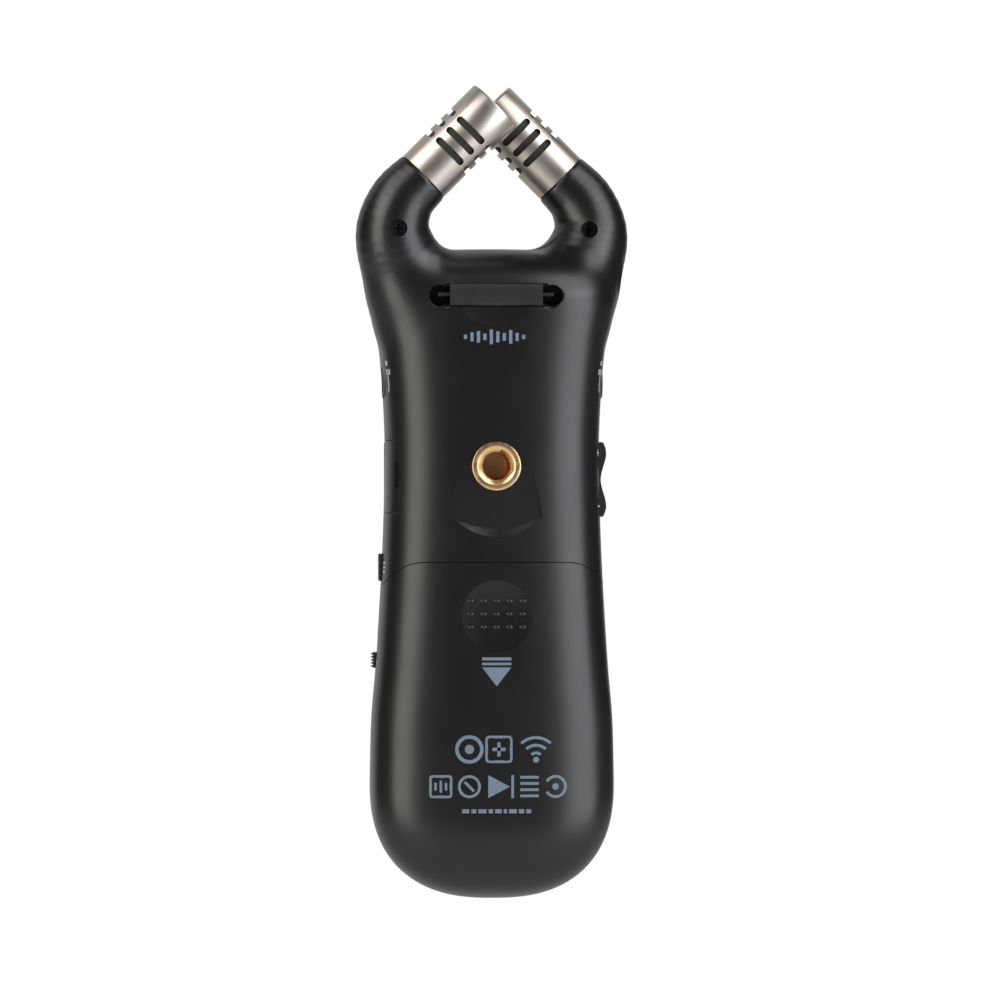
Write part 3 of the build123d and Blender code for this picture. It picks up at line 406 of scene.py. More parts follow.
def side_bar(name, side, x0, x1, y, z, width, height, corner):
    """Rounded bar along X between |x| = x0 and |x| = x1 on one side."""
    start = x0 if side > 0 else -x1
    return prism(name, rounded(width, height, corner), (start, y, z), (0, 1, 0), (0, 0, 1), x1 - x0)


# ------------------------------------------------------------------- the shells
JACK_Z, JACK_Y, JACK_RADIUS = 94.4, 0.6, 2.9
ROCKER_Z, ROCKER_HEIGHT, ROCKER_WIDTH = 76.75, 13.7, 4.4
DOOR_Z, DOOR_Y, DOOR_THICK = (70.7, 83.8), (-3.0, 7.6), 1.3
DOOR_PIN_X, DOOR_PIN_Y, DOOR_KNUCKLE_RADIUS = 18.75, -3.9, 0.85
MENU_Z, MENU_Y = 60.65, -1.2
SLIDER_Z, SLIDER_Y, SLIDER_TRAVEL = 43.6, -4.2, 2.8
USB_Z, USB_Y = 63.0, -5.0
WINDOW_Z, WINDOW_WIDTH, WINDOW_HEIGHT, WINDOW_THICK = 96.5, 25.0, 24.0, 1.2
RECORD_Z, RECORD_RADIUS, LED_Z, SPEAKER_Z = 67.5, 5.9, 78.2, 26.0
KEYS = {"play_key": (-6.6, 54.6), "stop_key": (6.6, 54.6),
        "back_key": (-6.6, 46.0), "forward_key": (6.6, 46.0)}
KEY_WIDTH, KEY_HEIGHT = 9.6, 6.2
ARM_SCREW_X, ARM_SCREW_Z, SCREW_HEAD_RADIUS, SCREW_SHANK_RADIUS = 17.8, 122.6, 1.55, 0.95
MIC_SOCKET_RADIUS = 4.23
STRAP_Z, STRAP_BAR_LENGTH, STRAP_BAR_HEIGHT, STRAP_BAR_THICK = 110.4, 16.9, 4.2, 1.5
CORD_HOLE_X, CORD_HOLE_RADIUS, CORD_TUNNEL_DEPTH = 10.3, 1.9, 5.4
THUMB_Z, THUMB_RADIUS, THUMB_DEPTH, DOT_PITCH = 51.8, 6.5, 0.6, 2.38
THUMB_STRETCH = 1.17
FAR = 30.0                   # beyond the sides, where cutters end
CASE_SCREWS = [(side * 14.6, z) for side in (1, -1) for z in (20.0, 54.0)]
BOARD_SCREWS = [(side * 14.2, z) for side in (1, -1) for z in (40.0, 104.5)]


def rear_space(gap):
    """Everything behind the parting surface, which steps to the middle of each arm."""
    low, high = PARTING_STEP_Z
    arm_y = ARM[-1][1]
    halves = []
    for side in (1, -1):
        outline = [(PARTING_Y - gap, -10), (40, -10), (40, 160), (side * arm_y - gap, 160),
                   (side * arm_y - gap, high), (PARTING_Y - gap, low)]
        start = -0.01 if side > 0 else -40
        halves.append(prism("half", outline, (start, 0, 0), (0, 1, 0), (0, 0, 1), 40.01))
    return joined_to(halves[0], halves[1])


def lip_space(below, above):
    """Slab along the parting surface, from a depth in front of it to a height behind it."""
    return without(rear_space(below), rear_space(-above))


def cover_space(gap, y_start):
    """Prism of the battery cover's outline from y_start backwards, lowered by gap."""
    wide, radius, steps = 26.0, COVER_CORNER_RADIUS, 14
    shoulder = COVER_TOP_Z - gap - radius
    angles = [math.pi / 2 * step / steps for step in range(steps + 1)]
    arc = [(COVER_CORNER_X + radius * math.cos(a), shoulder + radius * math.sin(a)) for a in angles]
    outline = [(-wide, -10), (wide, -10), (wide, shoulder), *arc]
    outline += [*((-x, z) for x, z in arc[::-1]), (-wide, shoulder)]
    return prism("cover_space", outline, (0, 40, 0), (1, 0, 0), (0, 0, 1), 40 - y_start)


def tripod_seat():
    """Tilted flat floor below the thread with a sloped crescent wall at its foot."""
    corner_x, corner_z, foot_z, floor_foot_z, top_z, top_x = 8.6, 70.2, 66.5, 67.75, 80.0, 6.5
    tilt, steps, arc_radius = math.radians(4.0), 20, 1.35
    lower, upper = [], []

    def floor_point(x, z):
        return np.array([x, INSERT_FACE_Y - (top_z - z) * math.tan(tilt), z])

    for step in range(steps + 1):
        t = -1 + 2 * step / steps
        arc_end = math.sqrt(arc_radius ** 2 - 1)
        bow = (math.sqrt(arc_radius ** 2 - t * t) - arc_end) / (arc_radius - arc_end)
        low = floor_point((corner_x - 0.25) * t, corner_z - (corner_z - floor_foot_z) * bow)
        rim = np.array([corner_x * t, BACK_DEPTH - 0.15, corner_z - (corner_z - foot_z) * bow])
        lower.append(low)
        upper.append(low + (rim - low) * 1.6)
    for side in (1, -1):
        low = floor_point(side * top_x, top_z)
        lower.append(low)
        upper.append(low + np.array([side * 0.1, 2.0, 0]))
    return slab("tripod_seat", lower, upper, split=True)


def shared_cutters():
    """Openings that cross the parting line: screws, sockets, jacks, rocker, door."""
    tools = []
    for side in (1, -1):
        end, direction = arm_end(side)
        x = side * ARM_SCREW_X
        y = side * ARM[2][1] + 3.6
        tools.append(disc("screw_bore", x, ARM_SCREW_Z, SCREW_HEAD_RADIUS, y, FAR))
        tools.append(disc("screw_shank", x, ARM_SCREW_Z, SCREW_SHANK_RADIUS, y - 8.6, y + 1))
        tools.append(rod("mic_socket", end - direction * 4.3, end + direction, MIC_SOCKET_RADIUS))
        tools.append(rod("jack_hole", (side * 12, JACK_Y, JACK_Z), (side * FAR, JACK_Y, JACK_Z),
                         JACK_RADIUS + 0.08))
    slot_z = SLIDER_Z + SLIDER_TRAVEL / 2
    for name, side, x, y, z, width, height, corner in (
            ("rocker_hole", -1, 15.6, 0, ROCKER_Z, ROCKER_WIDTH + 0.4, ROCKER_HEIGHT + 0.7, 0.2),
            ("usb_hole", -1, 15.6, USB_Y, USB_Z, 3.4, 9.2, 1.65),
            ("menu_hole", 1, 15.6, MENU_Y, MENU_Z, 3.3, 5.3, 0.8),
            ("slider_dish", 1, 20.5, SLIDER_Y, slot_z, 4.2, 6.1, 0.8),
            ("slider_slot", 1, 15.6, SLIDER_Y, slot_z, 2.2, 5.2, 0.5)):
        tools.append(side_bar(name, side, x, FAR, y, z, width, height, corner))
    tools.append(block("door_window", 10, FAR, DOOR_Y[0] + 0.5, DOOR_Y[1] - 1.2, DOOR_Z[0] + 0.9,
                       DOOR_Z[1] - 0.9))
    return tools


def door_box(gap):
    return block("door_box", 10, FAR, DOOR_Y[0] - gap, DOOR_Y[1] + gap, DOOR_Z[0] - gap, DOOR_Z[1] + gap)


def hinge_rod(name, radius, margin):
    """Rod along the card door's hinge axis, longer than the door by a margin at each end."""
    ends = [(DOOR_PIN_X, DOOR_PIN_Y, z) for z in (DOOR_Z[0] - margin, DOOR_Z[1] + margin)]
    return rod(name, *ends, radius)


def front_cutters():
    """Openings of the front shell: window, hinge, record button, light, keys, loudspeaker."""
    through = FASCIA_Y - 2, FASCIA_Y + 3
    tools = [plate("window_pocket", 0, WINDOW_Z, WINDOW_WIDTH + 0.15, WINDOW_HEIGHT + 0.15, 1.6,
                   FASCIA_Y - 2, FASCIA_Y + WINDOW_THICK),
             plate("window_hole", 0, WINDOW_Z, WINDOW_WIDTH - 3, WINDOW_HEIGHT - 3.4, 0.8, *through),
             block("door_pocket", DOOR_PIN_X, FAR, DOOR_PIN_Y - 0.97, DOOR_Y[0] + 0.5, DOOR_Z[0] - 0.12,
                   DOOR_Z[1] + 0.12),
             hinge_rod("knuckle_pocket", DOOR_KNUCKLE_RADIUS + 0.12, 0.12)]
    holes = [disc("record_hole", 0, RECORD_Z, RECORD_RADIUS + 0.15, *through, 96),
             disc("led_hole", 0, LED_Z, 1.02, *through)]
    holes += [plate("key_hole", x, z, KEY_WIDTH + 0.3, KEY_HEIGHT + 0.3, KEY_HEIGHT / 2 + 0.1, *through)
              for x, z in KEYS.values()]
    pitch, spread = 2.2, 7.0
    for row in range(-3, 4):
        for column in range(-3, 4):
            x, z = (column + 0.5 * (row % 2)) * pitch, row * pitch * math.sqrt(3) / 2
            if math.hypot(x, z) < spread:
                holes.append(disc("grille", x, SPEAKER_Z + z, 0.6, *through, 24))
    return tools + [joined("front_holes", holes)]


def skin_y(field, x, z):
    """Depth of the back's skin at one place."""
    return float(skin_at(field, np.array([[x, 0.0, z]]), 1, 3.0, 14.0)[0, 1])


def strap_cutters(field):
    """Seat for the strap bar, two cord holes with soft mouths and the tunnel between them."""
    top = skin_y(field, 0.0, STRAP_Z)
    tunnel_y = top - CORD_TUNNEL_DEPTH
    tools = [plate("strap_seat", 0, STRAP_Z, STRAP_BAR_LENGTH + 2.2, STRAP_BAR_HEIGHT + 0.15, 0.3,
                   top - 1.6, 20),
             plate("strap_tunnel", 0, STRAP_Z, 2 * CORD_HOLE_X, 3.2, 0.4, tunnel_y, top)]
    for side in (1, -1):
        x = side * CORD_HOLE_X
        mouth = skin_y(field, x, STRAP_Z)
        profile = [(tunnel_y - mouth, 0), (tunnel_y - mouth, CORD_HOLE_RADIUS), (-1.3, CORD_HOLE_RADIUS)]
        profile += [(-0.45, CORD_HOLE_RADIUS + 0.04), (-0.15, CORD_HOLE_RADIUS + 0.16),
                    (0.0, CORD_HOLE_RADIUS + 0.32), (0.5, CORD_HOLE_RADIUS + 0.9), (0.5, 0)]
        tools.append(lathe("cord_hole", (x, mouth, STRAP_Z), (0, 1, 0), profile, 72))
        normal = (skin_y(field, x - 0.5, STRAP_Z) - skin_y(field, x + 0.5, STRAP_Z), 1,
                  skin_y(field, x, STRAP_Z - 0.5) - skin_y(field, x, STRAP_Z + 0.5))
        tools.append(shallow_dish("cord_dimple", (x, mouth, STRAP_Z), normal, 2.9, 0.22))
    return tools


def strap_scoop(field):
    """Soft hollow that runs out below the strap bar."""
    foot = STRAP_Z - STRAP_BAR_HEIGHT / 2
    angles = [math.pi * i / 32 for i in range(1, 32)]
    profile = [(-1.0, 0)] + [(-math.cos(angle), math.sin(angle)) for angle in angles] + [(1.0, 0)]
    centre = (0.0, skin_y(field, 0.0, foot) + 1.1, foot + 0.2)
    return stretch(lathe("strap_scoop", centre, (0, 1, 0), profile, 96), centre, (10.5, 1.5, 5.0))


def strap_bar(field):
    """Bridge over the cord tunnel with a crowned face."""
    top = skin_y(field, 0.0, STRAP_Z)
    half, low = STRAP_BAR_HEIGHT / 2, top - STRAP_BAR_THICK
    outline = [(low, half - 0.02), (low, 0.02 - half)]
    for step in range(17):
        angle = math.pi * (step / 16 - 0.5)
        outline.append((top - 0.65 + 0.6 * abs(math.cos(angle)) ** 0.7, half * math.sin(angle)))
    end = STRAP_BAR_LENGTH / 2
    bar = prism("strap_bar_skin", outline, (-end, 0, STRAP_Z), (0, 1, 0), (0, 0, 1), STRAP_BAR_LENGTH)
    peg_y, peg_z = top - 1.5, STRAP_Z + 0.1
    pegs = [rod("peg", (side * (end - 1), peg_y, peg_z), (side * (end + 2.1), peg_y, peg_z), 0.4)
            for side in (1, -1)]
    return joined_to(bar, *pegs)


def shallow_dish(name, mouth, direction, radius, depth):
    """Spherical hollow of a given mouth radius and depth, sunk into a surface at the mouth's centre."""
    ball = (radius ** 2 + depth ** 2) / (2 * depth)
    top = 2.3 * depth
    profile = [(0, 0)]
    for step in range(1, 25):
        along = top * (step / 24) ** 2
        profile.append((along, math.sqrt(ball ** 2 - (ball - along) ** 2)))
    profile.append((top, 0))
    start = Vector(mouth) - Vector(direction).normalized() * depth
    return lathe(name, start, direction, profile, 96)


def thumb_dish():
    """Shallow dish for the thumb, wider than high."""
    mouth = (0, BACK_DEPTH, THUMB_Z)
    dish = shallow_dish("thumb_dish", mouth, (0, 1, 0), THUMB_RADIUS, THUMB_DEPTH)
    return stretch(dish, mouth, (THUMB_STRETCH, 1, 1))


def thumb_dots():
    """Grid of low oval grip dots that stand on the dish."""
    dots = []
    profile = [(-0.3, 0), (-0.3, 0.52), (0.02, 0.5), (0.14, 0.44), (0.24, 0.3), (0.29, 0.14), (0.3, 0)]
    ball = (THUMB_RADIUS ** 2 + THUMB_DEPTH ** 2) / (2 * THUMB_DEPTH)
    for row in (-1, 0, 1):
        for column in range(-2, 3):
            x, z = column * DOT_PITCH, THUMB_Z + 0.35 + row * DOT_PITCH
            sag = ball - math.sqrt(ball ** 2 - x ** 2 - (z - THUMB_Z) ** 2)
            place = (x, BACK_DEPTH - THUMB_DEPTH + sag, z)
            dots.append(stretch(lathe("dot", place, (0, 1, 0), profile, 24), place, (1.25, 1, 0.8)))
    return joined("thumb_dots", dots)


def front_bosses():
    bosses = [block("hinge_boss", 15.8, 18.6, -5.6, -3.1, DOOR_Z[0] - 1.6, DOOR_Z[1] + 1.6)]
    posts = [disc("boss", x, z, 2.3, FASCIA_Y + 1.2, -1.85) for x, z in CASE_SCREWS]
    posts += [disc("post", x, z, 1.7, FASCIA_Y + 1.2, -3.42) for x, z in BOARD_SCREWS]
    return bosses + [joined("front_posts", posts)]


def make_shells(field):
    """Front shell, back shell, battery cover and card door from one smooth hollow body."""
    levels = {"outer": 0.0, "inner": -WALL, "pocket_core": -(DOOR_THICK + 0.15), "door_core": -DOOR_THICK,
              "half_wall": -WALL / 2}
    skins = [new_object(name, *mesh_level(field, level)) for name, level in levels.items()]
    for obj in skins:
        make_outward(obj)
    outer, inner, pocket, core, half_wall = skins

    door = without(common_part(door_box(0.0), copy_of(outer, "outer_copy")), core)
    recess = without(door_box(0.14), pocket)
    columns = [disc("column", side * ARM_SCREW_X, ARM_SCREW_Z, 2.1, middle - 5.6, middle + 5.6)
               for side, middle in ((1, ARM[2][1]), (-1, -ARM[2][1]))]
    body = without(outer, inner)
    cover = common_part(cover_space(SEAM, PARTING_Y + 0.08), copy_of(body, "body_copy"))
    body = joined_to(body, *columns)
    body = without(body, *shared_cutters(), recess)

    lip = common_part(copy_of(body, "lip"), lip_space(LIP_ROOT, LIP_HEIGHT))
    lip = common_part(lip, copy_of(half_wall, "lip_side"))
    groove = common_part(lip_space(0.05, LIP_HEIGHT + 0.06), half_wall)
    cover = without(cover, copy_of(groove, "cover_groove"))
    front = without(copy_of(body, "front"), rear_space(PARTING_GAP))
    front = joined_to(front, lip)
    front = joined_to(front, *front_bosses())
    front = without(front, *front_cutters())

    back = common_part(body, rear_space(0.0))
    back = without(back, groove)
    back = without(back, cover_space(0.0, -5))
    floor_y = skin_y(field, 0.0, STRAP_Z) - CORD_TUNNEL_DEPTH
    trough = plate("trough", 0, STRAP_Z, 27.6, STRAP_BAR_HEIGHT + 2.8, 2.8, floor_y - 1.3, 9.2)
    boss = disc("thread_boss", 0, TRIPOD_Z, 6.2, 4.2, 11.9, 64)
    backing = block("seat_backing", -9.6, 9.6, 8.9, 11.3, 65.0, 76.0)
    back = joined_to(back, boss, trough, backing)
    insert_bore = disc("insert_bore", 0, TRIPOD_Z, 4.53, 0, 14, 96)
    back = without(back, *strap_cutters(field), strap_scoop(field), tripod_seat(), insert_bore)

    cover = without(cover, thumb_dish())
    tongue = block("tongue", -6, 6, 9.75, 10.45, COVER_TOP_Z - 3, COVER_TOP_Z + 2.2)
    cover = joined_to(cover, thumb_dots(), tongue)
    return front, back, cover, finish_door(door)


def finish_door(door):
    """Hinge knuckle, arm and nail notch of the memory card door."""
    knuckle = hinge_rod("knuckle", DOOR_KNUCKLE_RADIUS, -0.25)
    arm = block("arm", DOOR_PIN_X - 0.45, DOOR_PIN_X + 0.45, DOOR_PIN_Y, DOOR_Y[0] + 0.6, DOOR_Z[0] + 0.25,
                DOOR_Z[1] - 0.25)
    middle = (DOOR_Z[0] + DOOR_Z[1]) / 2 + 0.4
    notch = block("notch", 17.3, FAR, DOOR_Y[1] - 1.0, DOOR_Y[1] + 1, middle - 2.4, middle + 2.4)
    door = joined_to(door, arm, knuckle)
    return without(door, notch)


# --------------------------------------------------------------- printed marks
def skin_at(field, points, axis, low, high):
    """Move points along one axis to where the field crosses zero between low (inside) and high."""
    low, high = np.full(len(points), low, float), np.full(len(points), high, float)
    at = np.array(points, float)
    for _ in range(14):
        at[:, axis] = (low + high) / 2
        inside = sample(field, at) < 0
        low, high = np.where(inside, at[:, axis], low), np.where(inside, high, at[:, axis])
    return at


def turned_patch(u, v, a, b, angle):
    """Grid coordinates a and b turned by an angle in degrees and moved to (u, v)."""
    c, s = math.cos(math.radians(angle)), math.sin(math.radians(angle))
    return np.stack([u + a * c - b * s, v + a * s + b * c], axis=-1)


def bar_patch(u, v, width, height, angle=0.0):
    """Grid over a rectangle turned by an angle in degrees, about 0.5 mm per cell."""
    across = np.linspace(-width / 2, width / 2, max(2, int(width / 0.5) + 1))
    along = np.linspace(-height / 2, height / 2, max(2, int(height / 0.5) + 1))
    a, b = np.meshgrid(across, along, indexing="ij")
    return turned_patch(u, v, a, b, angle)


def ring_patch(u, v, inner, outer, start=0.0, end=359.0, power=2.0):
    """Grid over part of a ring; a power above 2 squares it off."""
    angles = np.radians(np.linspace(start, end, max(4, int((end - start) / 7.5))))
    c, s = np.cos(angles), np.sin(angles)
    reach = (np.abs(c) ** power + np.abs(s) ** power) ** (-1 / power)
    thick = outer - inner
    radii = np.stack([outer * reach - thick, outer * reach], axis=-1)
    return np.stack([u + radii * c[:, None], v + radii * s[:, None]], axis=-1)


def triangle_patch(u, v, width, height, angle=0.0):
    """Grid over a triangle whose apex points along +v before turning."""
    rows = np.linspace(0, 1, 8)
    a = np.outer(1 - 0.985 * rows, np.linspace(-width / 2, width / 2, 8)).T
    b = np.tile(rows * height - height / 2, (8, 1))
    return turned_patch(u, v, a, b, angle)


def printed(name, patches, place, lift=0.03, buried=0.08):
    """Thin ink film: each patch is a closed slab from under the skin to just above it."""
    points, faces = [], []
    count = 0
    for patch in patches:
        rows, columns = patch.shape[:2]
        flat = patch.reshape(-1, 2)
        points += [place(flat, lift), place(flat, -buried)]
        top = np.arange(rows * columns).reshape(rows, columns) + count
        under = top + rows * columns
        count += 2 * rows * columns
        for i in range(rows - 1):
            for j in range(columns - 1):
                faces.append((top[i, j], top[i + 1, j], top[i + 1, j + 1], top[i, j + 1]))
                faces.append((under[i, j], under[i, j + 1], under[i + 1, j + 1], under[i + 1, j]))
        rim = [(i, 0) for i in range(rows)] + [(rows - 1, j) for j in range(1, columns)]
        rim += [(i, columns - 1) for i in range(rows - 2, -1, -1)]
        rim += [(0, j) for j in range(columns - 2, 0, -1)]
        for a, b in zip(rim, rim[1:] + rim[:1]):
            faces.append((top[b], top[a], under[a], under[b]))
    obj = new_object(name, np.concatenate(points), faces)
    make_outward(obj)
    return obj


def on_skin(field, axis, low, high):
    """Place marks on the skin, met along one axis between low and high, given the two other coordinates."""
    def place(flat, lift):
        points = skin_at(field, np.insert(flat, axis, 0.0, axis=1), axis, low, high)
        points[:, axis] += lift if high > 0 else -lift
        return points
    return place


def on_plane(face_y):
    """Place marks on a flat face that looks out of the front."""
    def place(flat, lift):
        return np.insert(flat, 1, face_y - lift, axis=1)
    return place


ARROW_Z, ARROW_WIDTH, ARROW_HEIGHT = 40.75, 5.35, 3.4
STROKE = 0.5
SIDES = ((1, "right"), (-1, "left"))


def level_bars(u, v, heights, pitch, width):
    """Row of upright bars of different heights about a middle line."""
    first = u - pitch * (len(heights) - 1) / 2
    return [bar_patch(first + i * pitch, v, width, h) for i, h in enumerate(heights)]


def square_outline(u, v, size):
    return [ring_patch(u, v, size / 2 - STROKE, size / 2, power=9.0)]


def arrow_marks():
    """Two bars above a triangle that points towards the cover's opening direction."""
    return [bar_patch(0, 44.0, ARROW_WIDTH, 0.54), bar_patch(0, 43.08, ARROW_WIDTH, 0.46),
            triangle_patch(0, ARROW_Z, ARROW_WIDTH, ARROW_HEIGHT, 180.0)]


def upper_symbols(z):
    """Row of three large generic symbols."""
    ring = [ring_patch(5.0, z, 1.95, 2.6), ring_patch(5.0, z, 0.02, 0.85)]
    squared = square_outline(-0.4, z, 5.0) + [bar_patch(-0.4, z, 0.62, 2.6), bar_patch(-0.4, z, 2.4, 0.62)]
    waves = [ring_patch(-7.2, z - 1.9, r - 0.52, r, 48, 132) for r in (1.5, 2.9, 4.3)]
    return ring + squared + waves + [ring_patch(-7.2, z - 1.9, 0.02, 0.55)]


def lower_symbols(z):
    """Row of five smaller generic symbols."""
    marks = square_outline(10.2, z, 4.2) + level_bars(10.2, z, (1.4, 2.2, 1.4), 0.95, 0.45)
    marks += [ring_patch(5.0, z, 1.6, 2.1), bar_patch(5.0, z, 2.4, STROKE, 45)]
    marks += [triangle_patch(-0.4, z, 4.2, 3.9, 90), bar_patch(-2.9, z, STROKE, 4.2)]
    marks += [bar_patch(-6.0, z + dz, 3.4, STROKE) for dz in (-1.7, -0.57, 0.57, 1.7)]
    marks += [ring_patch(-10.8, z, 1.6, 2.1, 30, 330), ring_patch(-10.8, z, 0.02, 0.6)]
    return marks


def dashes(v, widths, gap, height):
    """Centred row of dashes."""
    total = sum(widths) + gap * (len(widths) - 1)
    u = total / 2
    row = []
    for width in widths:
        row.append(bar_patch(u - width / 2, v, width, height))
        u -= width + gap
    return row


def side_symbols(side):
    """Small white symbols beside the controls of one side wall, given as y and z."""
    marks = [bar_patch(5.2, JACK_Z + 3.6, 0.9, 0.8), bar_patch(5.3, JACK_Z + 2.0, 0.45, 1.0),
             bar_patch(6.1, JACK_Z + 2.0, 0.45, 1.0)]
    marks += [ring_patch(JACK_Y, JACK_Z, 4.9, 5.2, -20, 30)]
    if side > 0:
        marks += [bar_patch(3.2, MENU_Z + dz, 1.6, 0.35) for dz in (-0.8, 0.0, 0.8)]
        marks += [bar_patch(0.2, SLIDER_Z - 0.4, 0.5, 0.5), bar_patch(0.2, SLIDER_Z + 3.4, 0.5, 1.3)]
        marks += [bar_patch(1.4, SLIDER_Z - 0.4, 0.35, 1.2)]
    else:
        marks += [bar_patch(4.6, ROCKER_Z + 4.9, 1.4, 0.35), bar_patch(4.6, ROCKER_Z + 4.9, 0.35, 1.4),
                  bar_patch(4.6, ROCKER_Z - 4.9, 1.4, 0.35)]
    return marks


def display_symbols():
    """Two level meters, a row of counter blocks and a battery sign on the display."""
    marks = []
    for row, lit in ((WINDOW_Z - 3.4, 11), (WINDOW_Z - 6.0, 9)):
        marks += [bar_patch(8.4 - 1.3 * i, row, 0.8, 1.5) for i in range(lit)]
    marks += [bar_patch(8.6 - 1.35 * i, WINDOW_Z - 7.8, 0.25, 0.8) for i in range(14)]
    for i, u in enumerate((7.6, 4.6, 0.4, -2.6, -6.6)):
        marks += [ring_patch(u, WINDOW_Z + 1.9, 1.0, 1.35, power=7.0)]
    marks += [bar_patch(2.5, WINDOW_Z + 2.6, 0.4, 0.4), bar_patch(2.5, WINDOW_Z + 1.2, 0.4, 0.4)]
    marks += [bar_patch(-7.6, WINDOW_Z + 6.8, 2.4, 1.2), bar_patch(7.6, WINDOW_Z + 6.8, 1.6, 0.4)]
    marks += [ring_patch(5.2, WINDOW_Z + 6.8, 0.02, 0.6)]
    return marks


def key_symbols(node, u, v):
    """Transport symbol of one key."""
    if node == "play_key":
        return [triangle_patch(u, v, 2.2, 2.0, -90.0)]
    if node == "stop_key":
        return [bar_patch(u, v, 1.9, 1.9)]
    way = 1 if node == "back_key" else -1
    return [triangle_patch(u + step * way, v, 1.9, 1.5, 90.0 * way) for step in (0.75, -0.75)]


def mic_housing(side):
    """Turned tube with three rows of slots on four sides and a spigot in the arm."""
    base, direction = arm_end(side)
    length, radius, bore, spigot = 18.6, 5.25, 4.65, 4.2
    profile = [(-4.0, 3.2), (-4.0, spigot), (0.05, spigot), (0.05, radius - 0.1), (0.15, radius)]
    profile += [(length - 0.32, radius), (length - 0.1, radius - 0.1), (length, radius - 0.3)]
    profile += [(length, bore + 0.05), (length - 0.05, bore), (1.2, bore), (1.2, 3.2)]
    tube = lathe("tube", base, direction, profile, 96, 35.0, (0, 1, 0), hollow=True)
    back = Vector((0, 1, 0))
    slots = []
    for outward, along_slot in ((back, direction.cross(back)), (direction.cross(back), back)):
        for from_tip in (6.7, 9.4, 12.1):
            centre = base + direction * (length - from_tip)
            outline = rounded(6.7, 1.35, 0.67, 10)
            up = outward.cross(along_slot)
            slots.append(prism("slot", outline, centre - outward * 8, along_slot, up, 16))
    return without(tube, *slots)


def threaded_insert():
    """Brass nut with an open threaded bore: every ring runs round the axis, the bore's follow the helix."""
    segments = 96
    face, depth, minor, major, pitch = INSERT_FACE_Y, 6.0, 2.553, 3.02, 1.27
    mouth = face - 0.89
    profile = [(face - 8.2, 0.0), (face - 8.2, 4.5), (face - 5.0, 4.5), (face - 5.0, 3.9), (face - 3.8, 3.9),
               (face - 3.8, 4.5), (face - 0.18, 4.5), (face - 0.05, 4.45), (face, 4.36), (face, 3.50),
               (face - 0.03, 3.44), (mouth, minor + 0.02)]
    turn = np.arange(segments) / segments
    for y in np.arange(mouth - 0.08, mouth - depth + 0.1, -0.09):
        wave = np.abs(2 * ((y / pitch + 0.5 - turn) % 1) - 1)
        cut = np.clip((wave - 0.25) / 0.6, 0, 1)
        fade = np.clip((mouth - y) / 0.4, 0, 1) * np.clip((y - (mouth - depth)) / 0.8, 0, 1)
        profile.append((y, minor + (major - minor) * cut * fade))
    profile += [(mouth - depth, minor), (mouth - depth - 0.05, 0.0)]
    return lathe("tripod_insert_skin", (0, 0, TRIPOD_Z), (0, 1, 0), profile, segments, 50.0)


# --------------------------------------------------------------------- materials
def feed(tree, node, inputs):
    """Set a node's inputs: a socket is linked, anything else becomes the input's own value."""
    for key, value in inputs.items():
        if isinstance(value, bpy.types.NodeSocket):
            tree.links.new(value, node.inputs[key])
        else:
            node.inputs[key].default_value = value


def add_node(tree, kind, inputs=None, **settings):
    """New shader node with its settings and inputs."""
    node = tree.nodes.new("ShaderNode" + kind)
    for key, value in settings.items():
        setattr(node, key, value)
    feed(tree, node, inputs or {})
    return node


def principled(mat):
    return next(n for n in mat.node_tree.nodes if n.type == "BSDF_PRINCIPLED")


def mix_colour(tree, low, high, factor):
    """Blend of two colours, each a tuple or a socket, by a factor socket."""
    low, high = ((*colour, 1) if isinstance(colour, tuple) else colour for colour in (low, high))
    return add_node(tree, "Mix", {"A": low, "B": high, "Factor": factor}, data_type="RGBA").outputs["Result"]


def calculate(tree, operation, *values):
    """Result of a math node on sockets."""
    return add_node(tree, "Math", dict(enumerate(values)), operation=operation).outputs["Value"]


def split_vector(tree, vector):
    """The X, Y and Z sockets of a vector."""
    return add_node(tree, "SeparateXYZ", {"Vector": vector}).outputs


def ranged(tree, value, low, high, from_low=0.3, from_high=0.7):
    """Remap of a value from one range to another; the first suits noise."""
    inputs = {"Value": value, "From Min": from_low, "From Max": from_high, "To Min": low, "To Max": high}
    return add_node(tree, "MapRange", inputs).outputs["Result"]


def show_to_camera(tree, out, seen, felt):
    """The camera sees one shader, and every other ray meets the second one."""
    path = add_node(tree, "LightPath").outputs["Is Camera Ray"]
    mix = add_node(tree, "MixShader", {"Fac": path, 1: felt, 2: seen})
    feed(tree, out, {"Surface": mix.outputs["Shader"]})


def edge_wear_and_sheen_mask(tree, radius_mm):
    """1 on convex edges, 0 on flats, from the difference of a rounded and a true normal."""
    softened = add_node(tree, "Bevel", {"Radius": radius_mm * MM}, samples=4).outputs["Normal"]
    normal = add_node(tree, "NewGeometry").outputs["Normal"]
    dot = add_node(tree, "VectorMath", {0: softened, 1: normal}, operation="DOT_PRODUCT")
    return ranged(tree, dot.outputs["Value"], 1.0, 0.0, 0.75, 0.99)


def noise(tree, size_mm, detail, roughness):
    """Noise in the object's own space."""
    place = add_node(tree, "TexCoord").outputs["Object"]
    inputs = {"Vector": place, "Scale": 1 / (size_mm * MM), "Detail": detail, "Roughness": roughness}
    return add_node(tree, "TexNoise", inputs).outputs["Fac"]


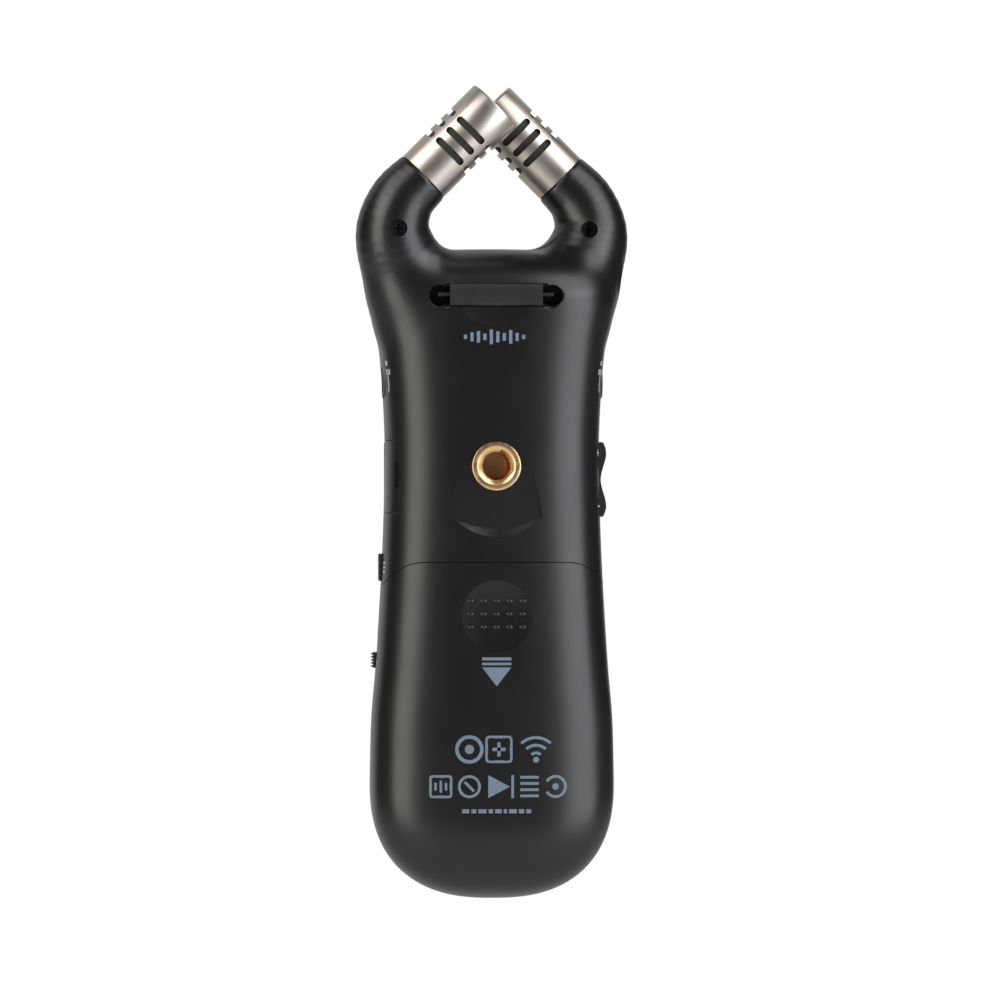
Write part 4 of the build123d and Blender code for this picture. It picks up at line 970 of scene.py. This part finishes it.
def material(name, colour, colour_2=None, metallic=0.0, roughness=(0.4, 0.5), grain_mm=0.3, bump=0.02,
             blotch_mm=8.0, edge_wear_and_sheen=None, edge_wear_and_sheen_radius=0.25, coat=0.0, hollow=None):
    """Procedural surface: fine grain bump, broad roughness and colour drift, lighter convex edges for rubbed
    wear and a painted edge highlight, painted shade in hollows.
    """
    mat = bpy.data.materials.new(name)
    mat.use_nodes = True
    tree = mat.node_tree
    tree.nodes.clear()
    grain = noise(tree, grain_mm, 3.0, 0.6)
    blotch = noise(tree, blotch_mm, 4.0, 0.55)
    base = mix_colour(tree, colour, colour_2 or tuple(c * 1.25 for c in colour), blotch)
    # lighter convex edges: partly rubbed wear, partly a painted highlight along the edges
    if edge_wear_and_sheen:
        base = mix_colour(tree, base, edge_wear_and_sheen, edge_wear_and_sheen_mask(tree, edge_wear_and_sheen_radius))
    # painted shade: where ambient occlusion finds a cavity, the base colour darkens towards the hollow
    # colour
    if hollow:
        painted_shade_mask = add_node(tree, "AmbientOcclusion", {"Distance": 4.0 * MM}, samples=8).outputs["AO"]
        base = mix_colour(tree, hollow, base, ranged(tree, painted_shade_mask, 0.0, 1.0, 0.15, 0.75))
    lift = add_node(tree, "Bump", {"Height": grain, "Strength": min(1.0, bump * 10),
                                   "Distance": grain_mm * MM * 0.1})
    shader = add_node(tree, "BsdfPrincipled", {
        "Base Color": base, "Roughness": ranged(tree, blotch, *roughness), "Metallic": metallic,
        "Coat Weight": coat, "Coat Roughness": 0.12, "Normal": lift.outputs["Normal"]})
    add_node(tree, "OutputMaterial", {"Surface": shader.outputs["BSDF"]})
    return mat


def glowing(name, colour, strength):
    mat = material(name, colour, roughness=(0.3, 0.4))
    feed(mat.node_tree, principled(mat), {"Emission Color": (*colour, 1), "Emission Strength": strength})
    return mat


def glassy(name, colour, roughness, transmission=1.0):
    mat = material(name, colour, roughness=(roughness, roughness * 1.6), bump=0.003)
    feed(mat.node_tree, principled(mat), {"Transmission Weight": transmission, "IOR": 1.49})
    return mat


def finish_cells(mat):
    """Copper coloured band at each cell's positive end, bare end faces; the cells point opposite ways."""
    tree, shader = mat.node_tree, principled(mat)
    low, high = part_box("batteries")
    at = split_vector(tree, add_node(tree, "TexCoord").outputs["Object"])
    height = ranged(tree, at["Z"], -1.0, 1.0, low.z, high.z)
    along = calculate(tree, "MULTIPLY", height, calculate(tree, "SIGN", at["X"]))
    band = ranged(tree, along, 0.0, 1.0, 0.44, 0.45)
    normal = split_vector(tree, add_node(tree, "NewGeometry").outputs["Normal"])
    end = ranged(tree, calculate(tree, "ABSOLUTE", normal["Z"]), 0.0, 1.0, 0.90, 0.95)
    base = shader.inputs["Base Color"].links[0].from_socket
    base = mix_colour(tree, base, (0.62, 0.33, 0.14), band)
    base = mix_colour(tree, base, (0.62, 0.62, 0.60), end)
    feed(tree, shader, {"Base Color": base, "Metallic": calculate(tree, "MAXIMUM", band, end)})
    return mat


def make_materials():
    """Every finish by the name of its slot."""
    return {
        "shell": material("shell_plastic", (0.0028, 0.0028, 0.0033), (0.0036, 0.0036, 0.0042),
                          roughness=(0.31, 0.35), grain_mm=0.22, bump=0.016, blotch_mm=14,
                          edge_wear_and_sheen=(0.016, 0.016, 0.018), edge_wear_and_sheen_radius=0.18),
        "control": material("control_plastic", (0.006, 0.006, 0.0066), roughness=(0.42, 0.52), grain_mm=0.15,
                            bump=0.02, edge_wear_and_sheen=(0.03, 0.03, 0.032), edge_wear_and_sheen_radius=0.15),
        "black_screw": material("blackened_steel", (0.012, 0.012, 0.012), (0.02, 0.02, 0.02), metallic=0.5,
                                roughness=(0.5, 0.65), grain_mm=0.1, bump=0.05),
        "record": material("record_plastic", (0.42, 0.012, 0.012), (0.5, 0.02, 0.016), grain_mm=0.2,
                           roughness=(0.22, 0.32), bump=0.006, coat=0.4, edge_wear_and_sheen=(0.55, 0.08, 0.06)),
        "mic_metal": material("champagne_metal", (0.45, 0.408, 0.37), (0.505, 0.463, 0.42), metallic=1.0,
                              roughness=(0.33, 0.40), grain_mm=0.08, bump=0.03, blotch_mm=5,
                              edge_wear_and_sheen=(0.80, 0.76, 0.72), edge_wear_and_sheen_radius=0.12),
        "mesh": material("dark_mesh", (0.016, 0.016, 0.013), (0.028, 0.027, 0.022), metallic=0.3,
                         roughness=(0.6, 0.8), grain_mm=0.25, bump=0.1),
        "element": material("element_can", (0.42, 0.42, 0.43), metallic=1.0, roughness=(0.25, 0.4)),
        "soft": material("soft_rubber", (0.014, 0.014, 0.014), roughness=(0.7, 0.85), grain_mm=0.2,
                         bump=0.04),
        "cable": material("cable_jacket", (0.03, 0.03, 0.035), roughness=(0.5, 0.6), grain_mm=0.2),
        # the brass's hollow colour is painted shade: the dark orange its bore takes on where light cannot
        # reach
        "brass": material("turned_brass", (0.80, 0.53, 0.27), (0.86, 0.60, 0.34), metallic=1.0,
                          roughness=(0.24, 0.36), grain_mm=0.12, bump=0.05, blotch_mm=1.6,
                          edge_wear_and_sheen=(0.95, 0.78, 0.52), edge_wear_and_sheen_radius=0.1, hollow=(0.42, 0.12, 0.02)),
        "steel": material("zinc_steel", (0.10, 0.10, 0.105), (0.16, 0.16, 0.165), metallic=1.0,
                          roughness=(0.35, 0.5), grain_mm=0.1, bump=0.05, edge_wear_and_sheen=(0.35, 0.35, 0.36)),
        "spring": material("nickel_spring", (0.6, 0.58, 0.54), metallic=1.0, roughness=(0.22, 0.35),
                           grain_mm=0.1),
        "window": glassy("window_acrylic", (0.55, 0.58, 0.6), 0.03),
        "light": glassy("light_pipe_acrylic", (0.8, 0.12, 0.1), 0.08, 0.7),
        "panel": material("display_glass", (0.020, 0.028, 0.034), (0.026, 0.036, 0.042), bump=0.002,
                          roughness=(0.12, 0.2)),
        "inner": material("inner_plastic", (0.03, 0.03, 0.03), roughness=(0.5, 0.62), grain_mm=0.2,
                          bump=0.03, edge_wear_and_sheen=(0.07, 0.07, 0.07)),
        "switch": material("dome_metal", (0.55, 0.55, 0.55), metallic=1.0, roughness=(0.25, 0.35)),
        "board": material("solder_mask", (0.008, 0.085, 0.03), (0.012, 0.11, 0.045), coat=0.3,
                          roughness=(0.28, 0.4)),
        "cell": finish_cells(material("cell_sleeve", (0.012, 0.02, 0.045), (0.016, 0.026, 0.055),
                                      roughness=(0.25, 0.35), coat=0.3, bump=0.01)),
        "ink": material("printed_ink", (0.100, 0.140, 0.190), (0.118, 0.162, 0.218), roughness=(0.5, 0.6),
                        grain_mm=0.1, bump=0.03),
        "lit": glowing("lit_segments", (0.75, 0.9, 1.0), 0.9),
        "white_ink": material("white_ink", (0.27, 0.28, 0.30), (0.33, 0.34, 0.36), roughness=(0.5, 0.6),
                              grain_mm=0.1),
    }


def paint(obj, mat):
    """Put one material on an object."""
    obj.data.materials.clear()
    obj.data.materials.append(mat)


def paint_cad_nodes(materials):
    for entry in frame["record"]["subparts"]:
        obj = NODES[entry["node"]]
        paint(obj, materials[entry["material_slot"]])
    paint(NODES["arm_screws"], materials["black_screw"])


# ------------------------------------------------------------- light and camera
def area_light(name, location, target, size_x, size_y, power, colour=(1, 1, 1)):
    data = bpy.data.lights.new(name, "AREA")
    data.shape = "RECTANGLE"
    data.size, data.size_y = size_x, size_y
    data.energy = power
    data.color = colour
    light = add_object(name, data)
    light.location = location
    light.rotation_mode = "QUATERNION"
    light.rotation_quaternion = (Vector(target) - Vector(location)).to_track_quat("-Z", "Y")
    light.visible_camera = False
    return light


def make_studio():
    """White surround for the camera, dim grey for reflections, strip lights on both sides."""
    scene = bpy.context.scene
    scene.view_settings.view_transform = "Standard"
    world = bpy.data.worlds.new("studio")
    scene.world = world
    world.use_nodes = True
    tree = world.node_tree
    tree.nodes.clear()
    seen = add_node(tree, "Background", {"Color": (1, 1, 1, 1), "Strength": 1.0})
    felt = add_node(tree, "Background", {"Color": (0.95, 0.96, 1.0, 1), "Strength": 0.035})
    show_to_camera(tree, add_node(tree, "OutputWorld"), seen.outputs[0], felt.outputs[0])
    centre = (cad_low + cad_high) / 2
    area_light("left_strip", (0.405, 0.293, centre.z), centre, 0.28, 0.62, 2.25, (1.0, 0.955, 0.88))
    area_light("right_strip", (-0.399, 0.301, centre.z), centre, 0.36, 0.62, 2.98, (0.93, 0.95, 1.0))
    for side in (1, -1):
        place = (side * 0.35, 0.22, centre.z + 0.40)
        area_light("upper_soft", place, centre, 0.46, 0.40, 1.95, (1.0, 0.98, 0.95))
    area_light("backdrop", (0.1, -0.60, centre.z + 0.30), centre, 1.3, 1.1, 2.6)


def make_floor():
    """Plain pale floor, low enough for the battery cover to slide off above it."""
    size, drop = 12.0, 75 * MM
    bpy.ops.mesh.primitive_plane_add(size=size, location=(0, 0, cad_low.z - drop))
    floor = bpy.context.object
    floor.name = "floor"
    mat = material("floor_paper", (0.60, 0.585, 0.58), (0.64, 0.625, 0.62), roughness=(0.7, 0.8),
                   grain_mm=2.0, bump=0.002)
    tree, shader = mat.node_tree, principled(mat)
    feed(tree, shader, {"Emission Color": (1, 0.97, 0.95, 1), "Emission Strength": 0.12})
    out = next(n for n in tree.nodes if n.type == "OUTPUT_MATERIAL")
    seen = add_node(tree, "Emission", {"Strength": 1.0})
    show_to_camera(tree, out, seen.outputs[0], shader.outputs["BSDF"])
    paint(floor, mat)
    return floor


def make_camera():
    """Long lens square to the back, turned a little towards the card door side."""
    view_width = 0.18055
    lens, sensor, azimuth = 420.0, 36.0, math.radians(175.9)
    data = bpy.data.cameras.new("camera")
    data.lens, data.sensor_width = lens, sensor
    camera = add_object("camera", data)
    back = Vector((math.sin(azimuth), -math.cos(azimuth), 0))
    middle = (cad_low + cad_high) / 2
    middle.x = 0.0
    camera.location = middle + back * (view_width * lens / sensor)
    camera.rotation_mode = "QUATERNION"
    camera.rotation_quaternion = (-back).to_track_quat("-Z", "Y")
    bpy.context.scene.camera = camera


def add_piece(obj, body, slot, *replaced):
    """Paint a piece with one of the finishes, attach it to its body and hide the nodes it stands for. The
    record has no slot for marks.
    """
    paint(obj, materials[slot])
    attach(obj, body)
    if replaced:
        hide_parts(*replaced)


def add_shells(field):
    shells = dict(zip(("front_shell", "back_shell", "battery_cover", "card_door"), make_shells(field)))
    for node, shell in shells.items():
        shell.name = node + "_skin"
        shade(shell, 32.0)
        add_piece(shell, node if node in ("battery_cover", "card_door") else "case", "shell", node)


def add_fittings(field):
    add_piece(threaded_insert(), "case", "brass", "tripod_insert")
    bar = strap_bar(field)
    shade(bar, 40.0)
    add_piece(bar, "case", "control", "strap_bar")
    for side, side_name in SIDES:
        housing = mic_housing(side)
        housing.name = "mic_housing_skin_" + side_name
        shade(housing, 30.0)
        add_piece(housing, "case", "mic_metal", "mic_housing_" + side_name)


def add_marks(field):
    """Printed marks of the back, the sides, the display and the keys."""
    label = level_bars(0.4, 102.75, (0.8, 1.5, 2.5, 1.4, 2.0, 2.7, 1.2, 2.1, 1.6, 0.8), 1.18, 0.6)
    fine_print = dashes(16.2, (1.3, 0.9, 1.5, 0.8, 1.2, 0.6, 1.4, 1.0, 0.9), 0.38, 0.75)
    for name, body, patches in (("level_mark", "case", label),
                                ("cover_arrow", "battery_cover", arrow_marks()),
                                ("cover_symbols_upper", "battery_cover", upper_symbols(27.5)),
                                ("cover_symbols_lower", "battery_cover", lower_symbols(20.7)),
                                ("cover_dashes", "battery_cover", fine_print)):
        add_piece(printed(name, patches, on_skin(field, 1, 3.0, 14.0)), body, "ink")
    for side, side_name in SIDES:
        side_wall = on_skin(field, 0, side * 8.0, side * 27.0)
        add_piece(printed("side_symbols_" + side_name, side_symbols(side), side_wall), "case", "white_ink")
    add_piece(printed("display_symbols", display_symbols(), on_plane(-9.3), 0.02, 0.05), "case", "lit")
    for node, place in KEYS.items():
        icon = printed(node + "_symbol", key_symbols(node, *place), on_plane(FASCIA_Y - 0.6), 0.015, 0.05)
        add_piece(icon, node, "white_ink")


materials = make_materials()
paint_cad_nodes(materials)
skin_field = recorder_field(*grid_axes(), VOXEL).astype(np.float32)
add_shells(skin_field)
add_fittings(skin_field)
add_marks(skin_field)
make_studio()
make_floor()
make_camera()
